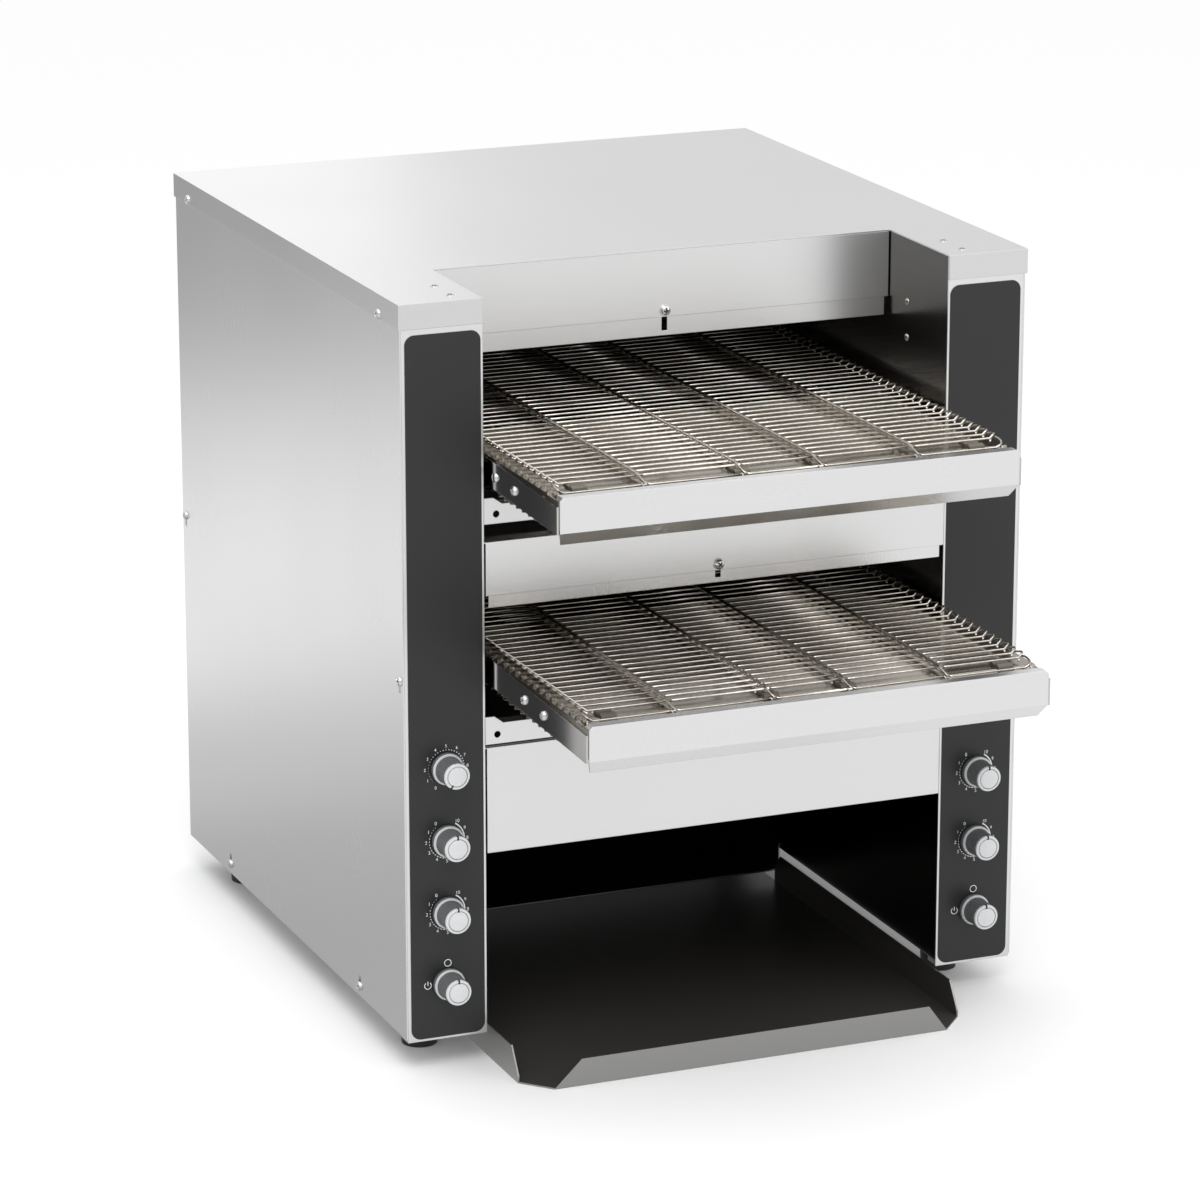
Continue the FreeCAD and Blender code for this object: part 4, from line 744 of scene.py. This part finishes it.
# Control knobs.
def knob_body(node, body, stand, length, spindle_end):
    """The fluted knob with its light ring and face, and its spindle behind it."""
    grip = KNOB_GRIP_RADIUS
    cap = length - KNOB_CAP_DEPTH

    def flutes(angle, radius, height):
        if height < KNOB_BASE_DEPTH + FLUTE_START or radius < grip * FLUTE_INNER_SHARE:
            return 1.0
        share = CAP_FLUTE_SHARE if height > cap + CAP_FLUTE_START else FLUTE_SHARE
        return 1.0 + share * math.cos(KNOB_FLUTES * angle)

    levels = (
        (KNOB_BASE_RADIUS, KNOB_LIFT, FOOT_RINGS),
        (KNOB_BASE_RADIUS, KNOB_BASE_DEPTH, SKIRT_RINGS),
        (grip, KNOB_BASE_DEPTH, GRIP_RINGS),
        (grip, cap, NECK_RINGS),
        (grip, length, FACE_RINGS),
    )
    rings = []
    for radius, level, table in levels:
        rings += [(radius * share, level + step, index) for share, step, index in table]
    bm = bmesh.new()
    lathe(bm, rings, KNOB_FLUTES * SIDES_PER_FLUTE, stand, flutes)
    spindle = [(SPINDLE_TIP_RADIUS, spindle_end, 0), (SPINDLE_RADIUS, spindle_end + SPINDLE_TIP_LENGTH, 0),
               (SPINDLE_RADIUS, KNOB_LIFT + SPINDLE_OVERLAP, 0)]
    lathe(bm, spindle, SPINDLE_SIDES, stand)
    knob = finished(node + "_turned", bm, [knob_side, knob_ring, knob_face], body, KNOB_SHARP)
    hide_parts(node)


def knob_notch(node, body, stand, length):
    """The black pointer that runs over the face's edge and down the cap."""
    inner = KNOB_GRIP_RADIUS * NOTCH_INNER_SHARE
    outer = KNOB_GRIP_RADIUS * NOTCH_OUTER_SHARE
    top = length + NOTCH_LIFT
    foot = length - KNOB_CAP_DEPTH + NOTCH_END
    outline = (
        (inner, top), (outer - NOTCH_EDGE, top), (outer, top - NOTCH_EDGE), (outer, foot),
        (outer - NOTCH_DEPTH, foot), (outer - NOTCH_DEPTH, top - NOTCH_DEPTH),
        (inner, top - NOTCH_INNER_DEPTH),
    )
    bm = bmesh.new()
    left, right = (
        [bm.verts.new(stand @ Vector((x, reach, height))) for reach, height in outline]
        for x in (-NOTCH_WIDTH / 2, NOTCH_WIDTH / 2)
    )
    bm.faces.new(left)
    bm.faces.new(list(reversed(right)))
    count = len(outline)
    for k in range(count):
        n = (k + 1) % count
        bm.faces.new((left[k], right[k], right[n], left[n]))
    mark = finished(node + "_notch", bm, [notch_black], body, NOTCH_SHARP)


def build_knob(node, body, turn_degrees):
    """Replaces a CAD knob and gives the middle of its dial on the overlay."""
    low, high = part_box(node)
    face_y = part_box("control_overlays")[0].y
    centre = Vector(((low.x + high.x) / 2, face_y, (low.z + high.z) / 2))
    stand = Matrix.Translation(centre) @ Matrix.Rotation(math.radians(90), 4, "X")
    stand = stand @ Matrix.Rotation(math.radians(-turn_degrees), 4, "Z")
    knob_body(node, body, stand, face_y - low.y, face_y - high.y)
    knob_notch(node, body, stand, face_y - low.y)
    return centre


dials = []
for deck in decks:
    for kind, turned in KNOB_TURN.items():
        key = deck + "_" + kind
        dials.append((kind, build_knob(key + "_knob", key, turned)))


# Printed scales on the control overlays.
def polar(centre, radius, clock_degrees):
    """A place round a dial, clockwise from 12 o'clock seen from the front."""
    angle = math.radians(clock_degrees)
    x = centre.x + radius * math.sin(angle)
    return Vector((x, centre.y - PRINT_LIFT, centre.z + radius * math.cos(angle)))


def patch(bm, points):
    bm.faces.new([bm.verts.new(point) for point in points])


def arc_patch(bm, centre, radius, width, start, end, steps):
    """A flat curved stroke between two clock angles."""
    angles = [start + (end - start) * i / steps for i in range(steps + 1)]
    inner = [polar(centre, radius - width / 2, angle) for angle in angles]
    outer = [polar(centre, radius + width / 2, angle) for angle in angles]
    for i in range(steps):
        patch(bm, (inner[i], inner[i + 1], outer[i + 1], outer[i]))


def digits(bm, text, point, height):
    """Plain digits centred on a point of the overlay, read from the front."""
    curve = bpy.data.curves.new("digits", "FONT")
    curve.body = text
    curve.size = height / CAPITAL_SHARE
    curve.align_x = "CENTER"
    curve.align_y = "CENTER"
    carrier = bpy.data.objects.new("digits", curve)
    bpy.context.scene.collection.objects.link(carrier)
    graph = bpy.context.evaluated_depsgraph_get()
    flat = bpy.data.meshes.new_from_object(carrier.evaluated_get(graph))
    flat.transform(Matrix.Translation(point) @ Matrix.Rotation(math.radians(90), 4, "X"))
    bm.from_mesh(flat)
    bpy.data.objects.remove(carrier)
    bpy.data.curves.remove(curve)
    bpy.data.meshes.remove(flat)


def heat_dial(bm, centre):
    """Dashes that grow from 0 to 10 anticlockwise, and their numbers."""
    sweep = HEAT_DASH_END - HEAT_DASH_START
    for i in range(HEAT_DASHES):
        share = i / (HEAT_DASHES - 1)
        middle = HEAT_DASH_START + sweep * share
        shortest, growth = HEAT_DASH_LENGTH_SHARES
        half = abs(sweep) / HEAT_DASHES / 2 * (shortest + growth * share)
        width = HEAT_DASH_WIDTHS[0] + HEAT_DASH_WIDTHS[1] * share
        radius = HEAT_DASH_RADIUS + width * HEAT_DASH_OUTWARD_SHARE
        arc_patch(bm, centre, radius, width, middle - half, middle + half, HEAT_DASH_STEPS)
    for i in range(NUMBERS):
        clock = HEAT_DIGIT_START + HEAT_DIGIT_STEP * i
        digits(bm, str(i), polar(centre, HEAT_DIGIT_RADIUS, clock), DIGIT_HEIGHT)


def speed_dial(bm, centre):
    """Dots that grow clockwise, and their numbers."""
    for i in range(SPEED_DOTS):
        share = i / (SPEED_DOTS - 1)
        dot = polar(centre, SPEED_DOT_RADIUS, SPEED_DOT_START + SPEED_DOT_SWEEP * share)
        radius = SPEED_DOT_SIZES[0] + SPEED_DOT_SIZES[1] * share
        angles = [2 * math.pi * k / SPEED_DOT_SIDES for k in range(SPEED_DOT_SIDES)]
        patch(bm, [dot + Vector((radius * math.cos(a), 0, radius * math.sin(a))) for a in angles])
    for i in range(NUMBERS):
        clock = SPEED_DIGIT_START + SPEED_DIGIT_STEP * i
        digits(bm, str(i), polar(centre, SPEED_DIGIT_RADIUS, clock), DIGIT_HEIGHT * SPEED_DIGIT_SHARE)


def power_dial(bm, centre):
    """The off circle over the knob and the on sign to the left of it."""
    off = centre + Vector((0, 0, SYMBOL_REACH))
    arc_patch(bm, off, SYMBOL_RADIUS, STROKE, 0.0, 360.0, SYMBOL_STEPS)
    on = centre + Vector((-SYMBOL_REACH, 0, 0))
    arc_patch(bm, on, SYMBOL_RADIUS, STROKE, *POWER_ARC, POWER_ARC_STEPS)
    top = SYMBOL_RADIUS * POWER_STROKE_SHARE
    half = STROKE / 2
    corners = ((-half, 0), (half, 0), (half, top), (-half, top))
    patch(bm, [on + Vector((x, -PRINT_LIFT, z)) for x, z in corners])


def build_prints():
    draw = {"speed": speed_dial, "power": power_dial, "top_heat": heat_dial, "bottom_heat": heat_dial}
    bm = bmesh.new()
    for kind, centre in dials:
        draw[kind](bm, centre)
    printed = finished("dial_prints", bm, [print_white], "casing")


build_prints()


# Floor, lights and world.
def blend(tree, weight, first, second):
    """Mixes two shaders, with the second one's share given by weight."""
    mix = tree.nodes.new("ShaderNodeMixShader")
    tree.links.new(weight, mix.inputs["Fac"])
    tree.links.new(first, mix.inputs[1])
    tree.links.new(second, mix.inputs[2])
    return mix.outputs["Shader"]


def times(tree, value, factor):
    """The value times a number, or times another node's output."""
    node = tree.nodes.new("ShaderNodeMath")
    node.operation = "MULTIPLY"
    tree.links.new(value, node.inputs[0])
    if isinstance(factor, float):
        node.inputs[1].default_value = factor
    else:
        tree.links.new(factor, node.inputs[1])
    return node.outputs["Value"]


def mirrored_tones(tree, place):
    """The painted reflection: how bright mirrors see the floor, by how far behind the machine's middle it
    lies.
    """
    ramp = tree.nodes.new("ShaderNodeValToRGB")
    ramp.color_ramp.interpolation = "EASE"
    stops = ramp.color_ramp.elements
    while len(stops) < len(PAINTED_REFLECTION_TONES):
        stops.new(0.5)
    # All places are set before any tone, because a stop that moves past another one trades order with it.
    span = PAINTED_REFLECTION_REACH[1] - PAINTED_REFLECTION_REACH[0]
    for stop, (y, tone) in zip(stops, PAINTED_REFLECTION_TONES):
        stop.position = (y - PAINTED_REFLECTION_REACH[0]) / span
    for stop, (y, tone) in zip(stops, PAINTED_REFLECTION_TONES):
        stop.color = (tone, tone, tone, 1.0)
    split = tree.nodes.new("ShaderNodeSeparateXYZ")
    tree.links.new(place, split.inputs["Vector"])
    tree.links.new(map_range(tree, split.outputs["Y"], PAINTED_REFLECTION_REACH), ramp.inputs["Fac"])
    return ramp.outputs["Color"]


def white_share(tree, place):
    """How much of the floor the camera sees as plain white, by its distance from the machine."""
    away = tree.nodes.new("ShaderNodeVectorMath")
    away.operation = "DISTANCE"
    away.inputs[1].default_value = SEEN_MIDDLE
    tree.links.new(place, away.inputs[0])
    return map_range(tree, away.outputs["Value"], SEEN_REACH, SEEN_WEIGHT)


def stage_material(name):
    """A matte floor that the camera sees as white paper and mirrors see as a painted reflection with a soft
    fall-off.
    """
    made, tree, shader = new_material(name)
    shader.inputs["Base Color"].default_value = (*FLOOR_COLOUR, 1.0)
    shader.inputs["Roughness"].default_value = FLOOR_ROUGHNESS
    shader.inputs["Specular IOR Level"].default_value = 0.0
    path = tree.nodes.new("ShaderNodeLightPath")
    place = tree.nodes.new("ShaderNodeTexCoord").outputs["Object"]
    white = tree.nodes.new("ShaderNodeEmission")
    # A painted reflection: a glow in graded tones that only mirrors see.
    reflection_glow = tree.nodes.new("ShaderNodeEmission")
    for light in (white, reflection_glow):
        light.inputs["Strength"].default_value = 1.0
    tree.links.new(mirrored_tones(tree, place), reflection_glow.inputs["Color"])
    weight = times(tree, path.outputs["Is Camera Ray"], white_share(tree, place))
    seen = blend(tree, weight, shader.outputs["BSDF"], white.outputs["Emission"])
    weight = times(tree, path.outputs["Is Glossy Ray"], MIRRORED_WEIGHT)
    seen = blend(tree, weight, seen, reflection_glow.outputs["Emission"])
    weight = times(tree, path.outputs["Is Transmission Ray"], MIRRORED_WEIGHT)
    seen = blend(tree, weight, seen, white.outputs["Emission"])
    tree.links.new(seen, tree.nodes["Material Output"].inputs["Surface"])
    return made


def build_floor():
    corners = ((-1, -1), (1, -1), (1, 1), (-1, 1))
    bm = bmesh.new()
    bm.faces.new([bm.verts.new((x * FLOOR_HALF, y * FLOOR_HALF, 0.0)) for x, y in corners])
    floor_mesh = bpy.data.meshes.new("floor")
    bm.to_mesh(floor_mesh)
    bm.free()
    floor_mesh.materials.append(stage_material("white_floor"))
    floor = bpy.data.objects.new("floor", floor_mesh)
    bpy.context.scene.collection.objects.link(floor)
    floor.location.z = -FLOOR_DROP


def lamp(name, place, size, power):
    """A soft rectangular light aimed at the machine's middle."""
    data = bpy.data.lights.new(name, "AREA")
    data.shape = "RECTANGLE"
    data.size, data.size_y = size
    data.energy = power
    made = bpy.data.objects.new(name, data)
    bpy.context.scene.collection.objects.link(made)
    made.location = place
    made.rotation_euler = ((cad_low + cad_high) / 2 - Vector(place)).to_track_quat("-Z", "Y").to_euler()


def build_world():
    """A soft sky for the light, plain white for the camera and half white for mirrors."""
    world = bpy.data.worlds.new("studio")
    bpy.context.scene.world = world
    world.use_nodes = True
    tree = world.node_tree
    tree.nodes.clear()
    place = tree.nodes.new("ShaderNodeTexCoord")
    split = tree.nodes.new("ShaderNodeSeparateXYZ")
    ramp = tree.nodes.new("ShaderNodeValToRGB")
    for stop, (position, colour) in zip(ramp.color_ramp.elements, SKY_COLOURS):
        stop.position = position
        stop.color = (*colour, 1.0)
    tree.links.new(place.outputs["Generated"], split.inputs["Vector"])
    tree.links.new(map_range(tree, split.outputs["Z"], (-1.0, 1.0)), ramp.inputs["Fac"])
    sky = tree.nodes.new("ShaderNodeBackground")
    sky.inputs["Strength"].default_value = SKY_STRENGTH
    tree.links.new(ramp.outputs["Color"], sky.inputs["Color"])
    white = tree.nodes.new("ShaderNodeBackground")
    white.inputs["Color"].default_value = (1.0, 1.0, 1.0, 1.0)
    white.inputs["Strength"].default_value = 1.0
    path = tree.nodes.new("ShaderNodeLightPath")
    seen = blend(tree, path.outputs["Is Camera Ray"], sky.outputs["Background"], white.outputs["Background"])
    for ray in ("Is Glossy Ray", "Is Transmission Ray"):
        weight = times(tree, path.outputs[ray], SKY_MIRRORED_WEIGHT)
        seen = blend(tree, weight, seen, white.outputs["Background"])
    output = tree.nodes.new("ShaderNodeOutputWorld")
    tree.links.new(seen, output.inputs["Surface"])


build_floor()
for name, (place, size, power) in LAMPS.items():
    lamp(name, place, size, power)
build_world()


# Camera at the photograph's angle.
def build_camera():
    azimuth = math.radians(AZIMUTH)
    elevation = math.radians(ELEVATION)
    level = math.cos(elevation)
    back = Vector((math.sin(azimuth) * level, -math.cos(azimuth) * level, math.sin(elevation)))
    right = Vector((math.cos(azimuth), math.sin(azimuth), 0.0))
    up = back.cross(right)
    data = bpy.data.cameras.new("camera")
    data.lens = LENS_MM
    data.sensor_width = SENSOR_MM
    data.clip_start, data.clip_end = CLIP
    camera = bpy.data.objects.new("camera", data)
    bpy.context.scene.collection.objects.link(camera)
    place = TARGET + back * DISTANCE + right * OFFSET_RIGHT + up * OFFSET_UP
    turn = Matrix((right, up, back)).transposed().to_4x4()
    camera.matrix_world = Matrix.Translation(place) @ turn
    bpy.context.scene.camera = camera


build_camera()
bpy.context.scene.view_settings.view_transform = "Standard"
